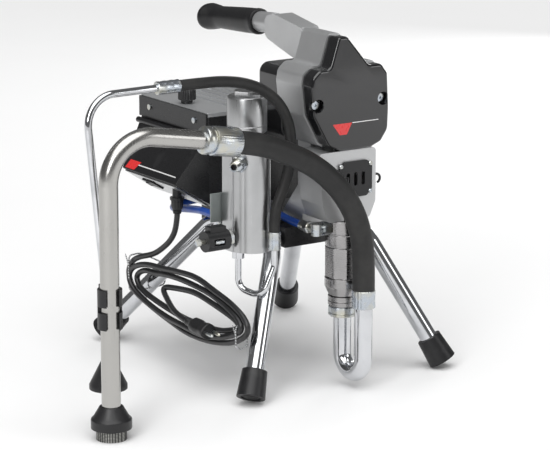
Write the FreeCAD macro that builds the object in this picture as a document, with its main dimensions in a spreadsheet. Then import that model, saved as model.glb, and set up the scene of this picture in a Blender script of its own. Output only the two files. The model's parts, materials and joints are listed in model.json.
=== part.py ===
import FreeCAD, Part
import math
import os
import re
import Sketcher

# Airless paint sprayer on a four-legged stand.
# +Z is up, the drive housing's cover faces -Y, the carrying handle runs back along +Y,
# and the filter, suction tube and controller are on the -X side.
# The origin is the centre of the four feet, on the floor. Millimetres throughout.

os.makedirs("parts", exist_ok=True)

SIZES = {
    # stand
    "feet_span_x": 294, "feet_span_y": 360, "foot_radius": 16.5, "foot_length": 34,
    "leg_radius": 11, "leg_wall": 1.5, "leg_top_height": 178, "leg_top_span": 128,
    "leg_front_y": -110, "leg_rear_y": 24, "leg_bend": 38, "leg_bolt_radius": 3,
    "leg_bolt_front_y": -68, "leg_bolt_rear_y": -8,
    # base channel
    "base_front_y": -116, "base_rear_y": 72, "base_depth": 25, "base_sheet": 2.5,
    "base_rise": 14, "seat_gap": 0.2,
    # drive housing, gears and cover
    "crank_height": 344, "housing_front_y": -156, "housing_depth": 52, "housing_wall": 5,
    "neck_height": 87, "web_setback": 6, "web_thickness": 10,
    "nose_front_y": -174, "nose_width": 78, "nose_bottom": 206, "cover_depth": 21,
    "cover_wall": 2.6, "screw_span": 94, "screw_height": 350, "screw_radius": 2.5,
    "gear_module": 0.75, "motor_teeth": 12, "idler_teeth": 56, "idler_pinion_teeth": 14,
    "crank_teeth": 54, "gear_gap": 1.9, "running_gap": 0.05,
    "crank_throw": 11, "crank_pin_radius": 6, "crank_shaft_radius": 10,
    # motor
    "cowl_width": 100, "cowl_bottom": 300, "cowl_top": 386, "cowl_depth": 51, "cowl_wall": 2.5,
    "stator_radius": 38, "stator_bore": 25, "stator_length": 32, "rotor_length": 30,
    "rotor_shaft_radius": 4, "air_gap": 0.5,
    # pump
    "pump_y": -162, "pump_radius": 22, "pump_bore": 13, "pump_rod_radius": 8,
    "rod_eye_height": 262, "rod_blade": 8, "yoke_pin_radius": 5, "pump_stroke": 22,
    "cylinder_bottom": 112, "foot_valve_bottom": 99, "swivel_nut_bottom": 86,
    "swivel_nut_radius": 17.5, "inlet_ball_radius": 8, "outlet_ball_radius": 5,
    # suction side
    "suction_pipe_radius": 11, "suction_pipe_wall": 1.2, "suction_bend_offset": 43,
    "suction_hose_radius": 13.7, "suction_x": -343, "suction_y": -193,
    "suction_corner_height": 353, "suction_bend": 50, "flange_radius": 23.5,
    "mesh_radius": 17.5,
    # drain side
    "drain_pipe_radius": 4.3, "drain_pipe_wall": 0.8, "drain_hose_radius": 6.6,
    "diffuser_radius": 22, "diffuser_height": 36,
    # filter manifold
    "manifold_x": -105, "manifold_y": -112, "manifold_radius": 23, "manifold_bottom": 172,
    "manifold_height": 144, "cap_radius": 24, "cap_height": 43, "chamber_radius": 14,
    "valve_height": 189, "outlet_height": 281, "outlet_angle": 54, "nipple_length": 21,
    "whip_radius": 4.75,
    # controller
    "box_front_x": -110, "box_back_x": 42, "box_near_y": -34, "box_far_y": 122,
    "box_top": 320, "box_bottom": 206, "panel_top": 298, "panel_out_x": -148,
    "panel_low": 238, "panel_foot_x": -98, "box_wall": 2.5, "lid_thickness": 5,
    "knob_x": -94, "knob_y": 39, "knob_radius": 11.5, "knob_height": 13,
    # handle
    "arm_x": -22, "arm_width": 26, "arm_height": 27, "grip_start_y": 3, "grip_start_z": 424,
    "grip_length": 118, "grip_drop": 4.0, "grip_radius": 15.5, "grip_core": 9,
    # power cord
    "cord_radius": 3.6, "gland_x": -130, "gland_y": 6, "hank_x": -138, "hank_thickness": 18,
}

doc = FreeCAD.newDocument("airless_sprayer")
sheet = doc.addObject("Spreadsheet::Sheet", "Sizes")
for row, (alias, value) in enumerate(SIZES.items(), 1):
    sheet.set("A%d" % row, alias)
    sheet.set("B%d" % row, str(value))
    sheet.setAlias("B%d" % row, alias)
doc.recompute()

S = {alias: float(sheet.get(alias)) for alias in SIZES}
V = FreeCAD.Vector
NODES = []

# Directions along which a primitive can stand.
TURN = {
    "+Z": FreeCAD.Rotation(),
    "-Z": FreeCAD.Rotation(V(1, 0, 0), 180),
    "+X": FreeCAD.Rotation(V(0, 1, 0), 90),
    "-X": FreeCAD.Rotation(V(0, 1, 0), -90),
    "+Y": FreeCAD.Rotation(V(1, 0, 0), -90),
    "-Y": FreeCAD.Rotation(V(1, 0, 0), 90),
}


# ---------------------------------------------------------------- building helpers

def link(text):
    """Turn aliases in an expression into references to the sheet."""
    return re.sub(r"[a-z_]+", lambda w: "Sizes." + w.group() if w.group() in SIZES else w.group(), str(text))


def node(label, obj):
    """Register an object as a finished sub-part."""
    obj.Label = label
    NODES.append(obj)
    return obj


def place(obj, at, rotation=None):
    """Bind an object's position to the sheet."""
    if rotation is not None:
        obj.Placement = FreeCAD.Placement(V(0, 0, 0), rotation)
    for axis, text in zip("xyz", at):
        obj.setExpression(".Placement.Base." + axis, link(text))
    return obj


def block(x, y, z):
    """A box between low and high values on each axis."""
    box = doc.addObject("Part::Box", "Block")
    for prop, (low, high) in zip(("Length", "Width", "Height"), (x, y, z)):
        box.setExpression(prop, link("(%s) - (%s)" % (high, low)))
    return place(box, (x[0], y[0], z[0]))


def rod(radius, length, at, along="+Z"):
    """A cylinder that starts at a point and runs along a direction."""
    cylinder = doc.addObject("Part::Cylinder", "Rod")
    cylinder.setExpression("Radius", link(radius))
    cylinder.setExpression("Height", link(length))
    return place(cylinder, at, TURN[along])


def hex_bar(across, length, at, along="+Z"):
    """A hexagonal bar, sized by its circumscribed radius."""
    prism = doc.addObject("Part::Prism", "Hex")
    prism.Polygon = 6
    prism.setExpression("Circumradius", link(across))
    prism.setExpression("Height", link(length))
    return place(prism, at, TURN[along])


def ball(radius, at):
    sphere = doc.addObject("Part::Sphere", "Ball")
    sphere.setExpression("Radius", link(radius))
    return place(sphere, at)


def fused(*pieces):
    joined = doc.addObject("Part::MultiFuse", "Fused")
    joined.Shapes = list(pieces)
    return joined


def cut(base, *tools):
    trimmed = doc.addObject("Part::Cut", "Cut")
    trimmed.Base = base
    trimmed.Tool = tools[0] if len(tools) == 1 else fused(*tools)
    return trimmed


def group(*pieces):
    bundle = doc.addObject("Part::Compound", "Group")
    bundle.Links = list(pieces)
    return bundle


def outline_sketch(body, role, corners):
    """A closed outline of straight lines, each corner bound to the sheet."""
    sketch = body.newObject("Sketcher::SketchObject", body.Name + "Outline")
    plane = next(f for f in body.Origin.OriginFeatures if f.Role == role)
    sketch.AttachmentSupport = [(plane, "")]
    sketch.MapMode = "FlatFace"
    count = len(corners)
    ring = [V(10 * math.cos(2 * math.pi * k / count), 10 * math.sin(2 * math.pi * k / count), 0)
            for k in range(count)]
    sketch.addGeometry([Part.LineSegment(ring[k], ring[(k + 1) % count]) for k in range(count)], False)
    for k in range(count):
        sketch.addConstraint(Sketcher.Constraint("Coincident", k, 2, (k + 1) % count, 1))
    for k, corner in enumerate(corners):
        for kind, text in zip(("DistanceX", "DistanceY"), corner):
            index = sketch.addConstraint(Sketcher.Constraint(kind, -1, 1, k, 1, 5.0))
            sketch.setExpression("Constraints[%d]" % index, link(text))
    return sketch


def turned(name, profile, at, along="+Z"):
    """A lathe-turned body: profile corners are (radius, height along the axis)."""
    body = doc.addObject("PartDesign::Body", name)
    sketch = outline_sketch(body, "XZ_Plane", profile)
    spin = body.newObject("PartDesign::Revolution", name + "Turned")
    spin.Profile = sketch
    spin.ReferenceAxis = (sketch, ["V_Axis"])
    spin.Angle = 360
    return place(body, at, TURN[along])


def pad(name, role, outline, length, at):
    """A padded body: XZ outlines grow along -Y, YZ outlines along +X, XY outlines along +Z."""
    body = doc.addObject("PartDesign::Body", name)
    feature = body.newObject("PartDesign::Pad", name + "Pad")
    feature.Profile = outline_sketch(body, role, outline)
    feature.setExpression("Length", link(length))
    return place(body, at)


def shaped(shape, name="Shape"):
    """A feature whose shape is worked out from the sheet's sizes."""
    feature = doc.addObject("Part::Feature", name)
    feature.Shape = shape
    feature.Placement = shape.Placement
    return feature


def round_corners(points, radii, closed=False):
    """Straight runs joined by tangent arcs, one radius for each inner corner."""
    points = [V(*p) for p in points]
    count = len(points)
    corners = range(count) if closed else range(1, count - 1)
    ends, edges, arcs = {}, [], {}
    for k in corners:
        before = (points[k - 1] - points[k]).normalize()
        after = (points[(k + 1) % count] - points[k]).normalize()
        radius = radii[k % len(radii)] if closed else radii[(k - 1) % len(radii)]
        half = before.getAngle(after) / 2
        reach = radius / math.tan(half)
        start, end = points[k] + before * reach, points[k] + after * reach
        middle = points[k] + (before + after).normalize() * (radius / math.sin(half) - radius)
        arcs[k] = Part.Arc(start, middle, end).toShape()
        ends[k] = (start, end)
    for k in range(count if closed else count - 1):
        following = (k + 1) % count
        a = ends[k][1] if k in ends else points[k]
        b = ends[following][0] if following in ends else points[following]
        if (b - a).Length > 1e-6:
            edges.append(Part.LineSegment(a, b).toShape())
        if following in arcs:
            edges.append(arcs[following])
    return Part.Wire(Part.__sortEdges__(edges))


def route_radii(points):
    """The largest arc that fits each corner of a cord's route."""
    radii = []
    for before, corner, after in zip(points, points[1:], points[2:]):
        a, b = V(*corner) - V(*before), V(*after) - V(*corner)
        turn = a.getAngle(b)
        radii.append(0.45 * min(a.Length, b.Length) / math.tan(turn / 2))
    return radii


def swept(path, radius):
    """A round solid along a wire of runs and tangent arcs, with its volume compared."""
    first = path.OrderedEdges[0]
    start = first.valueAt(first.FirstParameter)
    towards = first.tangentAt(first.FirstParameter)
    if (path.OrderedVertexes[0].Point - start).Length > 1e-6:
        start = first.valueAt(first.LastParameter)
        towards = towards * -1
    section = Part.Wire(Part.Circle(start, towards, radius).toShape())
    solid = path.makePipeShell([section], True, False)
    expected = math.pi * radius ** 2 * path.Length
    if abs(solid.Volume - expected) > 0.02 * expected:
        raise RuntimeError("swept solid has the wrong volume")
    return solid


def pipe(points, bends, radius, wall):
    """A bent pipe, hollow from end to end."""
    path = round_corners(points, bends)
    return swept(path, radius).cut(swept(path, radius - wall))


def hose(label, points, radius):
    """A flexible line along its route, each bend as large as its runs allow."""
    radii = route_radii(points)
    print(label, "bend radii", [round(r) for r in radii], "least", round(min(radii) / radius / 2, 1), "diameters")
    solid = swept(round_corners(points, radii), radius)
    print(label, "length", round(solid.Volume / (math.pi * radius ** 2)))
    return node(label, shaped(solid, label))


def flat(outline, radii, plane_y):
    """A face in the XZ plane at a given Y, with rounded corners."""
    wire = round_corners([(x, plane_y, z) for x, z in outline], radii, closed=True)
    return Part.Face(wire)


def inset(face, amount):
    """The same face, drawn in by an amount."""
    return Part.Face(face.OuterWire.makeOffset2D(-amount)) if amount else face


# ---------------------------------------------------------------- stand and base

def leg_points(side):
    """A leg frame's corners: front foot, front top, rear top, rear foot."""
    foot_x, foot_y = side * S["feet_span_x"] / 2, S["feet_span_y"] / 2
    top_x = side * S["leg_top_span"] / 2
    return [V(foot_x, -foot_y, 0), V(top_x, S["leg_front_y"], S["leg_top_height"]),
            V(top_x, S["leg_rear_y"], S["leg_top_height"]), V(foot_x, foot_y, 0)]


FOOT_SOLE = 4
BOOT_FLARE = 1.06
BOOT_TAPER = 0.92


def boot_base(along):
    """How far up a leg its boot starts, so that the boot's lower rim just meets the floor."""
    return S["foot_radius"] * BOOT_FLARE * math.sqrt(1 - along.z ** 2) / along.z


def leg_frame(label, side):
    corners = leg_points(side)
    for end, neighbour in ((0, 1), (-1, -2)):
        along = (corners[neighbour] - corners[end]).normalize()
        corners[end] = corners[end] + along * (boot_base(along) + FOOT_SOLE)
    tube = pipe(corners, [S["leg_bend"]], S["leg_radius"], S["leg_wall"])
    for bolt_y in (S["leg_bolt_front_y"], S["leg_bolt_rear_y"]):
        start = V(0, bolt_y, S["leg_top_height"])
        hole = Part.makeCylinder(S["leg_bolt_radius"] + S["seat_gap"], 2 * S["leg_top_span"], start, V(side, 0, 0))
        tube = tube.cut(hole)
    node(label, shaped(tube, label))


def rubber_feet():
    """Four rubber boots, square to their legs, that stand on their inner rims."""
    boots = []
    for side in (-1, 1):
        corners = leg_points(side)
        for end, neighbour in ((0, 1), (-1, -2)):
            along = (corners[neighbour] - corners[end]).normalize()
            start = corners[end] + along * boot_base(along)
            boot = Part.makeCone(S["foot_radius"] * BOOT_FLARE, S["foot_radius"] * BOOT_TAPER, S["foot_length"], start, along)
            bore = Part.makeCylinder(S["leg_radius"] + 0.1, S["foot_length"], start + along * FOOT_SOLE, along)
            tread = Part.makeCylinder(S["foot_radius"] * 0.72, 1.2, start - along * 0.01, along).cut(
                Part.makeCylinder(S["foot_radius"] * 0.55, 3, start - along, along))
            boots.append(boot.cut([bore, tread]))
    node("rubber_feet", shaped(Part.makeCompound(boots), "rubber_feet"))


def leg_bolts():
    """Bolts through the leg frames into the base channel's side flanges."""
    parts = []
    for side, along in ((-1, "-X"), (1, "+X")):
        sign = "-1" if side < 0 else "1"
        for y in ("leg_bolt_front_y", "leg_bolt_rear_y"):
            start = "%s * (leg_top_span / 2 - leg_radius - base_sheet - 5.4)" % sign
            shank = rod("leg_bolt_radius", "2 * leg_radius + base_sheet + 6", (start, y, "leg_top_height"), along)
            head_x = "%s * (leg_top_span / 2 + leg_radius + 0.2)" % sign
            head = hex_bar("leg_bolt_radius * 1.9", "4", (head_x, y, "leg_top_height"), along)
            nut_x = "%s * (leg_top_span / 2 - leg_radius - base_sheet - 5.3)" % sign
            nut = hex_bar("leg_bolt_radius * 1.9", "4.9", (nut_x, y, "leg_top_height"), along)
            parts.append(fused(shank, head, nut))
    return parts


BASE_HALF = "(leg_top_span / 2 - leg_radius - seat_gap)"
BASE_TOP = "(leg_top_height + base_rise)"


def base_channel():
    """Folded steel channel, open below, with the leg bolts through its side flanges."""
    outer = block(("-" + BASE_HALF, BASE_HALF), ("base_front_y", "base_rear_y"),
                  (BASE_TOP + " - base_depth", BASE_TOP))
    inner = block(("-%s + base_sheet" % BASE_HALF, BASE_HALF + " - base_sheet"),
                  ("base_front_y + base_sheet", "base_rear_y - base_sheet"),
                  (BASE_TOP + " - base_depth - 5", BASE_TOP + " - base_sheet"))
    holes = [rod("leg_bolt_radius + seat_gap", "leg_top_span", ("-leg_top_span / 2", y, "leg_top_height"), "+X")
             for y in ("leg_bolt_front_y", "leg_bolt_rear_y")]
    node("base_channel", cut(outer, inner, *holes))


# ---------------------------------------------------------------- drive housing

def centre_distance():
    return S["gear_module"] * (S["motor_teeth"] + S["idler_teeth"]) / 2


def housing_bottom():
    """The housing's floor leaves room for the idler gear below the crank."""
    tip = S["gear_module"] * (S["idler_teeth"] / 2 + 0.8)
    return S["crank_height"] - centre_distance() - tip - S["gear_gap"] - S["housing_wall"]


def cover_outline():
    """Half-rounded shield with an off-centre peak under the handle, as (x, z)."""
    axis, low = S["crank_height"], housing_bottom() + 2
    reach = S["screw_span"] / 2
    top = axis + S["neck_height"] - 2
    shoulder = axis + 48
    return [(-18, top), (-5, top), (27, shoulder), (reach - 2, shoulder), (reach + 7, shoulder - 12),
            (reach + 9, axis - 8), (reach + 8, axis - 32), (reach - 2, low + 6), (30, low),
            (-14, low), (-32, low + 8), (-reach - 5, axis - 8), (-reach - 9, axis + 28),
            (-reach - 7, shoulder - 8), (-reach + 2, shoulder), (-30, shoulder)]


COVER_CORNERS = [4, 4, 10, 6, 8, 20, 14, 8, 8, 12, 10, 14, 12, 7, 8, 8]


def cover_face(y):
    return flat(cover_outline(), COVER_CORNERS, y)


def nose_outline():
    """The casting's lower front, which narrows to the pump's seat."""
    half, low = S["nose_width"] / 2, S["nose_bottom"]
    top = housing_bottom() + 1.5
    return [(-half - 6, top), (half, top), (half, low + 20), (half - 9, low), (-half + 9, low), (-half + 1, low + 22)]


def drive_housing():
    """Cast housing: gear chamber behind the web, crank chamber before it, rod nose below."""
    front, depth = S["housing_front_y"], S["housing_depth"]
    wall = S["housing_wall"]
    rear = front + depth
    profile = cover_face(front)
    grown = Part.Face(profile.OuterWire.makeOffset2D(2.0))
    body = grown.extrude(V(0, depth, 0))
    nose = flat(nose_outline(), [5, 5, 8, 6, 6, 8], S["nose_front_y"]).extrude(V(0, 46, 0))
    seat_z = S["leg_top_height"] + S["base_rise"]
    side = [(0, rear - 24, S["nose_bottom"]), (0, rear - 26, housing_bottom() + 6), (0, rear, housing_bottom() + 6),
            (0, rear, S["nose_bottom"] + 34), (0, rear + 32, seat_z + 10), (0, rear + 32, seat_z),
            (0, rear - 10, seat_z), (0, rear - 10, S["nose_bottom"])]
    foot = Part.Face(Part.makePolygon([V(*p) for p in side] + [V(*side[0])])).extrude(V(52, 0, 0))
    foot.translate(V(-26, 0, 0))
    casting = body.fuse([nose, foot]).removeSplitter()
    web_front = front + S["web_setback"]
    web_rear = web_front + S["web_thickness"]
    inner = inset(grown, wall)
    front_room = inner.extrude(V(0, S["web_setback"], 0))
    rear_room = inner.extrude(V(0, rear - web_rear + 1, 0))
    rear_room.translate(V(0, web_rear - front, 0))
    rod_room = Part.makeBox(54, web_front - S["nose_front_y"] - 3, housing_bottom() + 12 - S["nose_bottom"] - 6,
                            V(-27, S["nose_front_y"] + 3, S["nose_bottom"] + 6))
    axis = V(0, web_front - 1, S["crank_height"])
    crank_bore = Part.makeCylinder(S["crank_shaft_radius"] + 5, S["web_thickness"] + 2, axis, V(0, 1, 0))
    idler = V(0, web_rear - 6, S["crank_height"] - centre_distance())
    idler_bore = Part.makeCylinder(4.0 + S["running_gap"], 10, idler, V(0, 1, 0))
    rod_bore = Part.makeCylinder(S["pump_bore"] + 1, 20, V(0, S["pump_y"], S["nose_bottom"] - 5), V(0, 0, 1))
    window = Part.makeBox(40, 8, 36, V(-12, S["nose_front_y"] - 2, S["rod_eye_height"] - 24))
    tools = [front_room, rear_room, rod_room, crank_bore, idler_bore, rod_bore, window]
    for x in (-S["screw_span"] / 2, S["screw_span"] / 2):
        tools.append(Part.makeCylinder(S["screw_radius"] + 0.1, 14, V(x, front - 1, S["screw_height"]), V(0, 1, 0)))
        boss = Part.makeCylinder(6, S["web_setback"] + 4, V(x, front, S["screw_height"]), V(0, 1, 0))
        casting = casting.fuse(boss)
    bosses = Part.makeCompound([
        Part.makeCylinder(6, S["web_setback"], V(x, front, S["screw_height"]), V(0, 1, 0))
        for x in (-S["screw_span"] / 2, S["screw_span"] / 2)])
    tools[0] = front_room.cut(bosses)
    for x in (-18, 18):
        tools.append(Part.makeCylinder(3.2, 30, V(x, rear + 20, seat_z - 10), V(0, 0, 1)))
    node("drive_housing", shaped(casting.cut(tools), "drive_housing"))


def front_cover():
    """Domed cover with two recessed screws and a notch that the connecting rod passes."""
    front, depth, wall = S["housing_front_y"], S["cover_depth"], S["cover_wall"]
    face = cover_face(front - 0.1)
    outer = face.extrude(V(0, -depth, 0))
    edges = [e for e in outer.Edges if abs(e.BoundBox.YMin - e.BoundBox.YMax) < 1e-6
             and abs(e.BoundBox.YMin - (front - 0.1 - depth)) < 1e-6]
    outer = outer.makeFillet(3.5, edges)
    room = inset(face, wall + 3.5).extrude(V(0, -depth + wall, 0))
    shell = outer.cut(room)
    low = housing_bottom()
    notch = Part.makeBox(54, depth - wall - 3.5, 14, V(-27, front - depth + wall + 3.4, low - 2))
    shell = shell.cut(notch)
    screw_bed = front - 11
    for x in (-S["screw_span"] / 2, S["screw_span"] / 2):
        post = Part.makeCylinder(10, -(screw_bed - 2 - front), V(x, screw_bed - 2, S["screw_height"]), V(0, 1, 0))
        shell = shell.fuse(post.common(outer))
        shell = shell.cut(Part.makeCylinder(8, depth, V(x, screw_bed, S["screw_height"]), V(0, -1, 0)))
        shell = shell.cut(Part.makeCylinder(S["screw_radius"] + 0.3, depth, V(x, front + 1, S["screw_height"]), V(0, -1, 0)))
    node("front_cover", shaped(shell, "front_cover"))


def cover_screws():
    screws = []
    for sign in ("-1", "1"):
        x = "%s * screw_span / 2" % sign
        shank = rod("screw_radius", "20", (x, "housing_front_y + 9", "screw_height"), "-Y")
        head = rod("5", "3", (x, "housing_front_y - 11", "screw_height"), "-Y")
        slot = hex_bar("2.2", "2", (x, "housing_front_y - 12.5", "screw_height"), "-Y")
        screws.append(cut(fused(shank, head), slot))
    return screws


def bracket_screws():
    return [fused(rod("3.6", "1.8", ("box_front_x - 3.2", y, "box_top - 7"), "-X"),
                  rod("2", "3.1", ("box_front_x - 0.15", y, "box_top - 7"), "-X"))
            for y in ("box_near_y + 26", "box_far_y - 26")]


def rod_cover():
    """Slotted plate over the rod window, and the pail hook beside it."""
    y, z = S["nose_front_y"], S["rod_eye_height"] - 6
    outline = [(-16, z + 14), (-8, z + 22), (24, z + 22), (32, z + 14), (32, z - 14), (24, z - 22), (-8, z - 22), (-16, z - 14)]
    plate = flat(outline, [4], y - 0.1).extrude(V(0, -2.4, 0))
    for x in (-3, 8, 19):
        slot = flat([(x - 2.5, z - 8), (x + 2.5, z - 8), (x + 2.5, z + 8), (x - 2.5, z + 8)], [2], y + 1)
        plate = plate.cut(slot.extrude(V(0, -6, 0)))
    node("rod_cover", shaped(Part.makeCompound([plate, pail_hook()]), "rod_cover"))


def pail_hook():
    """Open ring on the nose's right side, with its screw."""
    x = S["nose_width"] / 2 + 8.2
    y = S["nose_front_y"] + 10
    ring = Part.makeTorus(5.4, 1.5, V(x, y, 250), V(0, 1, 0), 0, 360, 320)
    ring.rotate(V(x, y, 250), V(0, 1, 0), 200)
    stud = Part.makeCylinder(1.6, 4, V(S["nose_width"] / 2, y, 250), V(1, 0, 0))
    return ring.fuse(stud)


# ---------------------------------------------------------------- gears and crank

PRESSURE_ANGLE = math.radians(25)
TOOTH_THINNING = 0.07


def gear_face(teeth, first_tooth, axis_z, y):
    """Stub-tooth involute outline with its first tooth centred at an angle."""
    module = S["gear_module"]
    pitch, tip, root = module * teeth / 2, module * (teeth / 2 + 0.8), module * (teeth / 2 - 1.1)
    base = pitch * math.cos(PRESSURE_ANGLE)
    roll = math.tan(PRESSURE_ANGLE) - PRESSURE_ANGLE
    half = math.pi / (2 * teeth) + roll - TOOTH_THINNING / pitch

    def flank(radius):
        pressure = math.acos(min(1.0, base / radius))
        return half - (math.tan(pressure) - pressure)

    start = max(base, root)
    steps = [start + (tip - start) * k / 4 for k in range(5)]
    side = [(root, half)] if root < base else []
    side += [(radius, flank(radius)) for radius in steps]
    points = []
    for tooth in range(teeth):
        centre = first_tooth + 2 * math.pi * tooth / teeth
        around = [(r, centre - a) for r, a in side] + [(r, centre + a) for r, a in reversed(side)]
        points += [V(r * math.cos(a), y, axis_z + r * math.sin(a)) for r, a in around]
    return Part.Face(Part.makePolygon(points + points[:1]))


def cylinder_y(radius, y_low, y_high, z, x=0.0):
    return Part.makeCylinder(radius, y_high - y_low, V(x, y_low, z), V(0, 1, 0))


def stations():
    """Where each gear and shaft lies along Y."""
    web = S["housing_front_y"] + S["web_setback"] + S["web_thickness"]
    return {"web": web, "low": web + 2, "low_end": web + 12, "high": web + 16, "high_end": web + 24,
            "bell": web + 28, "bell_end": S["housing_front_y"] + S["housing_depth"]}


def crank_and_gears():
    at = stations()
    axis = S["crank_height"]
    idler = axis - centre_distance()
    down, up = -math.pi / 2, math.pi / 2
    gear = gear_face(int(S["crank_teeth"]), down, axis, at["low"]).extrude(V(0, at["low_end"] - at["low"], 0))
    front = S["housing_front_y"]
    shaft = cylinder_y(S["crank_shaft_radius"] - 0.02, front + 0.5, at["low_end"] - 0.5, axis)
    arm = cylinder_y(S["crank_throw"] + S["crank_pin_radius"] + 0.5, front + 0.5, front + 4.5, axis)
    pin = cylinder_y(S["crank_pin_radius"], S["pump_y"] - 6.5, front + 1, axis - S["crank_throw"])
    node("crank_gear", shaped(gear.fuse([shaft, arm, pin]), "crank_gear"))
    ring_out, ring_in = S["crank_shaft_radius"] + 5 - 0.02, S["crank_shaft_radius"] + 0.03
    web_front = front + S["web_setback"]
    bearing = cylinder_y(ring_out, web_front, at["web"], axis).cut(cylinder_y(ring_in, web_front - 1, at["web"] + 1, axis))
    teeth = int(S["idler_teeth"])
    big = gear_face(teeth, up + math.pi / teeth, idler, at["high"]).extrude(V(0, at["high_end"] - at["high"], 0))
    small_teeth = int(S["idler_pinion_teeth"])
    small = gear_face(small_teeth, up + math.pi / small_teeth, idler, at["low"]).extrude(V(0, at["high"] - at["low"], 0))
    shaft = cylinder_y(4.0, at["web"] - 5, at["bell"] + 4, idler)
    node("idler_gear", shaped(big.fuse([small, shaft]), "idler_gear"))
    return bearing


def connecting_rod():
    """Big-end ring on the crank pin, shank, and a fork that straddles the pump rod's blade."""
    y, pin_z, eye = S["pump_y"], S["crank_height"] - S["crank_throw"], S["rod_eye_height"]
    ring = cylinder_y(14, y - 5.5, y + 5.5, pin_z)
    blade = S["rod_blade"] / 2 + 0.3
    crown = eye + 9 + S["pump_stroke"] + 3
    shank = Part.makeBox(16, 11, pin_z - 10 - crown, V(-8, y - 5.5, crown))
    fork = Part.makeBox(18, 2 * (blade + 4), crown + 5 - eye, V(-9, y - blade - 4, eye))
    eyes = cylinder_y(9, y - blade - 4, y + blade + 4, eye)
    slot = Part.makeBox(30, 2 * blade, crown - eye + 20, V(-15, y - blade, eye - 20))
    rod_shape = ring.fuse([shank, fork, eyes]).cut(slot)
    rod_shape = rod_shape.cut(cylinder_y(S["crank_pin_radius"] + S["running_gap"], y - 10, y + 10, pin_z))
    rod_shape = rod_shape.cut(cylinder_y(S["yoke_pin_radius"] + 0.1, y - 20, y + 20, eye))
    node("connecting_rod", shaped(rod_shape, "connecting_rod"))


# ---------------------------------------------------------------- motor

def motor(crank_bearing):
    at = stations()
    bell_end = at["bell_end"]
    grown = Part.Face(cover_face(at["bell"]).OuterWire.makeOffset2D(2.0))
    plate = inset(grown, S["housing_wall"] + 0.2).extrude(V(0, bell_end - at["bell"], 0))
    z = S["crank_height"]
    plate = plate.cut(cylinder_y(8.02, at["bell"] - 1, bell_end + 1, z))
    plate = plate.cut(cylinder_y(4.05, at["bell"] - 1, at["bell"] + 5, z - centre_distance()))
    stator_y = bell_end + 3
    stator_end = stator_y + S["stator_length"]
    core = cylinder_y(S["stator_radius"], stator_y, stator_end, z).cut(cylinder_y(S["stator_bore"], stator_y - 1, stator_end + 1, z))
    for k in range(12):
        angle = math.pi * (2 * k + 1) / 12
        radius = S["stator_radius"] - 6
        x, dz = radius * math.cos(angle), radius * math.sin(angle)
        core = core.cut(cylinder_y(3.2, stator_y - 1, stator_end + 1, z + dz, x))
    node("motor_stator", shaped(core, "motor_stator"))
    rear_y = stator_end + 3
    rear = cylinder_y(S["stator_radius"], rear_y, rear_y + 4, z).cut(cylinder_y(8.02, rear_y - 1, rear_y + 5, z))
    node("motor_end_plates", shaped(Part.makeCompound([plate, rear]), "motor_end_plates"))
    shaft_r = S["rotor_shaft_radius"]
    rings = [crank_bearing]
    for y0, y1 in ((at["bell"], bell_end), (rear_y, rear_y + 4)):
        rings.append(cylinder_y(8.0, y0, y1, z).cut(cylinder_y(shaft_r + 0.03, y0 - 1, y1 + 1, z)))
    node("bearings", shaped(Part.makeCompound(rings), "bearings"))
    teeth = int(S["motor_teeth"])
    pinion = gear_face(teeth, -math.pi / 2, z, at["high"] - 1).extrude(V(0, at["high_end"] - at["high"] + 2, 0))
    shaft = cylinder_y(shaft_r, at["high_end"] + 1, rear_y + 9, z)
    slim = cylinder_y(3.0, at["high_end"], at["high_end"] + 2, z)
    magnet_y = (stator_y + stator_end - S["rotor_length"]) / 2
    radius = S["stator_bore"] - S["air_gap"]
    magnets = cylinder_y(radius, magnet_y, magnet_y + S["rotor_length"], z)
    node("motor_rotor", shaped(pinion.fuse([slim, shaft, magnets]), "motor_rotor"))
    fan_y = rear_y + 5
    hub = cylinder_y(9, fan_y, fan_y + 4, z)
    blades = []
    for k in range(9):
        blade = Part.makeBox(24, 4, 1.4, V(8, fan_y, z - 0.7))
        blade.rotate(V(0, fan_y, z), V(0, 1, 0), 40 * k)
        blades.append(blade)
    fan = hub.fuse(blades).cut(cylinder_y(shaft_r, fan_y - 1, fan_y + 9, z))
    node("cooling_fan", shaped(fan, "cooling_fan"))


def motor_cowl():
    """Glossy box-shaped cowl with rounded corners and rear vent slots."""
    half, wall = S["cowl_width"] / 2, S["cowl_wall"]
    front = S["housing_front_y"] + S["housing_depth"] + 0.3
    low, high = S["cowl_bottom"], S["cowl_top"]
    face = flat([(-half, low), (half, low), (half, high), (-half, high)], [13], front)
    outer = face.extrude(V(0, S["cowl_depth"], 0))
    back = front + S["cowl_depth"]
    rim = [e for e in outer.Edges if e.BoundBox.YMin > back - 1e-6]
    outer = outer.makeFillet(5, rim)
    room = inset(face, wall).extrude(V(0, S["cowl_depth"] - wall, 0))
    shell = outer.cut(room)
    for row in range(5):
        z = S["crank_height"] - 20 + 10 * row
        shell = shell.cut(Part.makeBox(44, 10, 3, V(-22, back - 6, z)))
    node("motor_cowl", shaped(shell, "motor_cowl"))


# ---------------------------------------------------------------- pump

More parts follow.
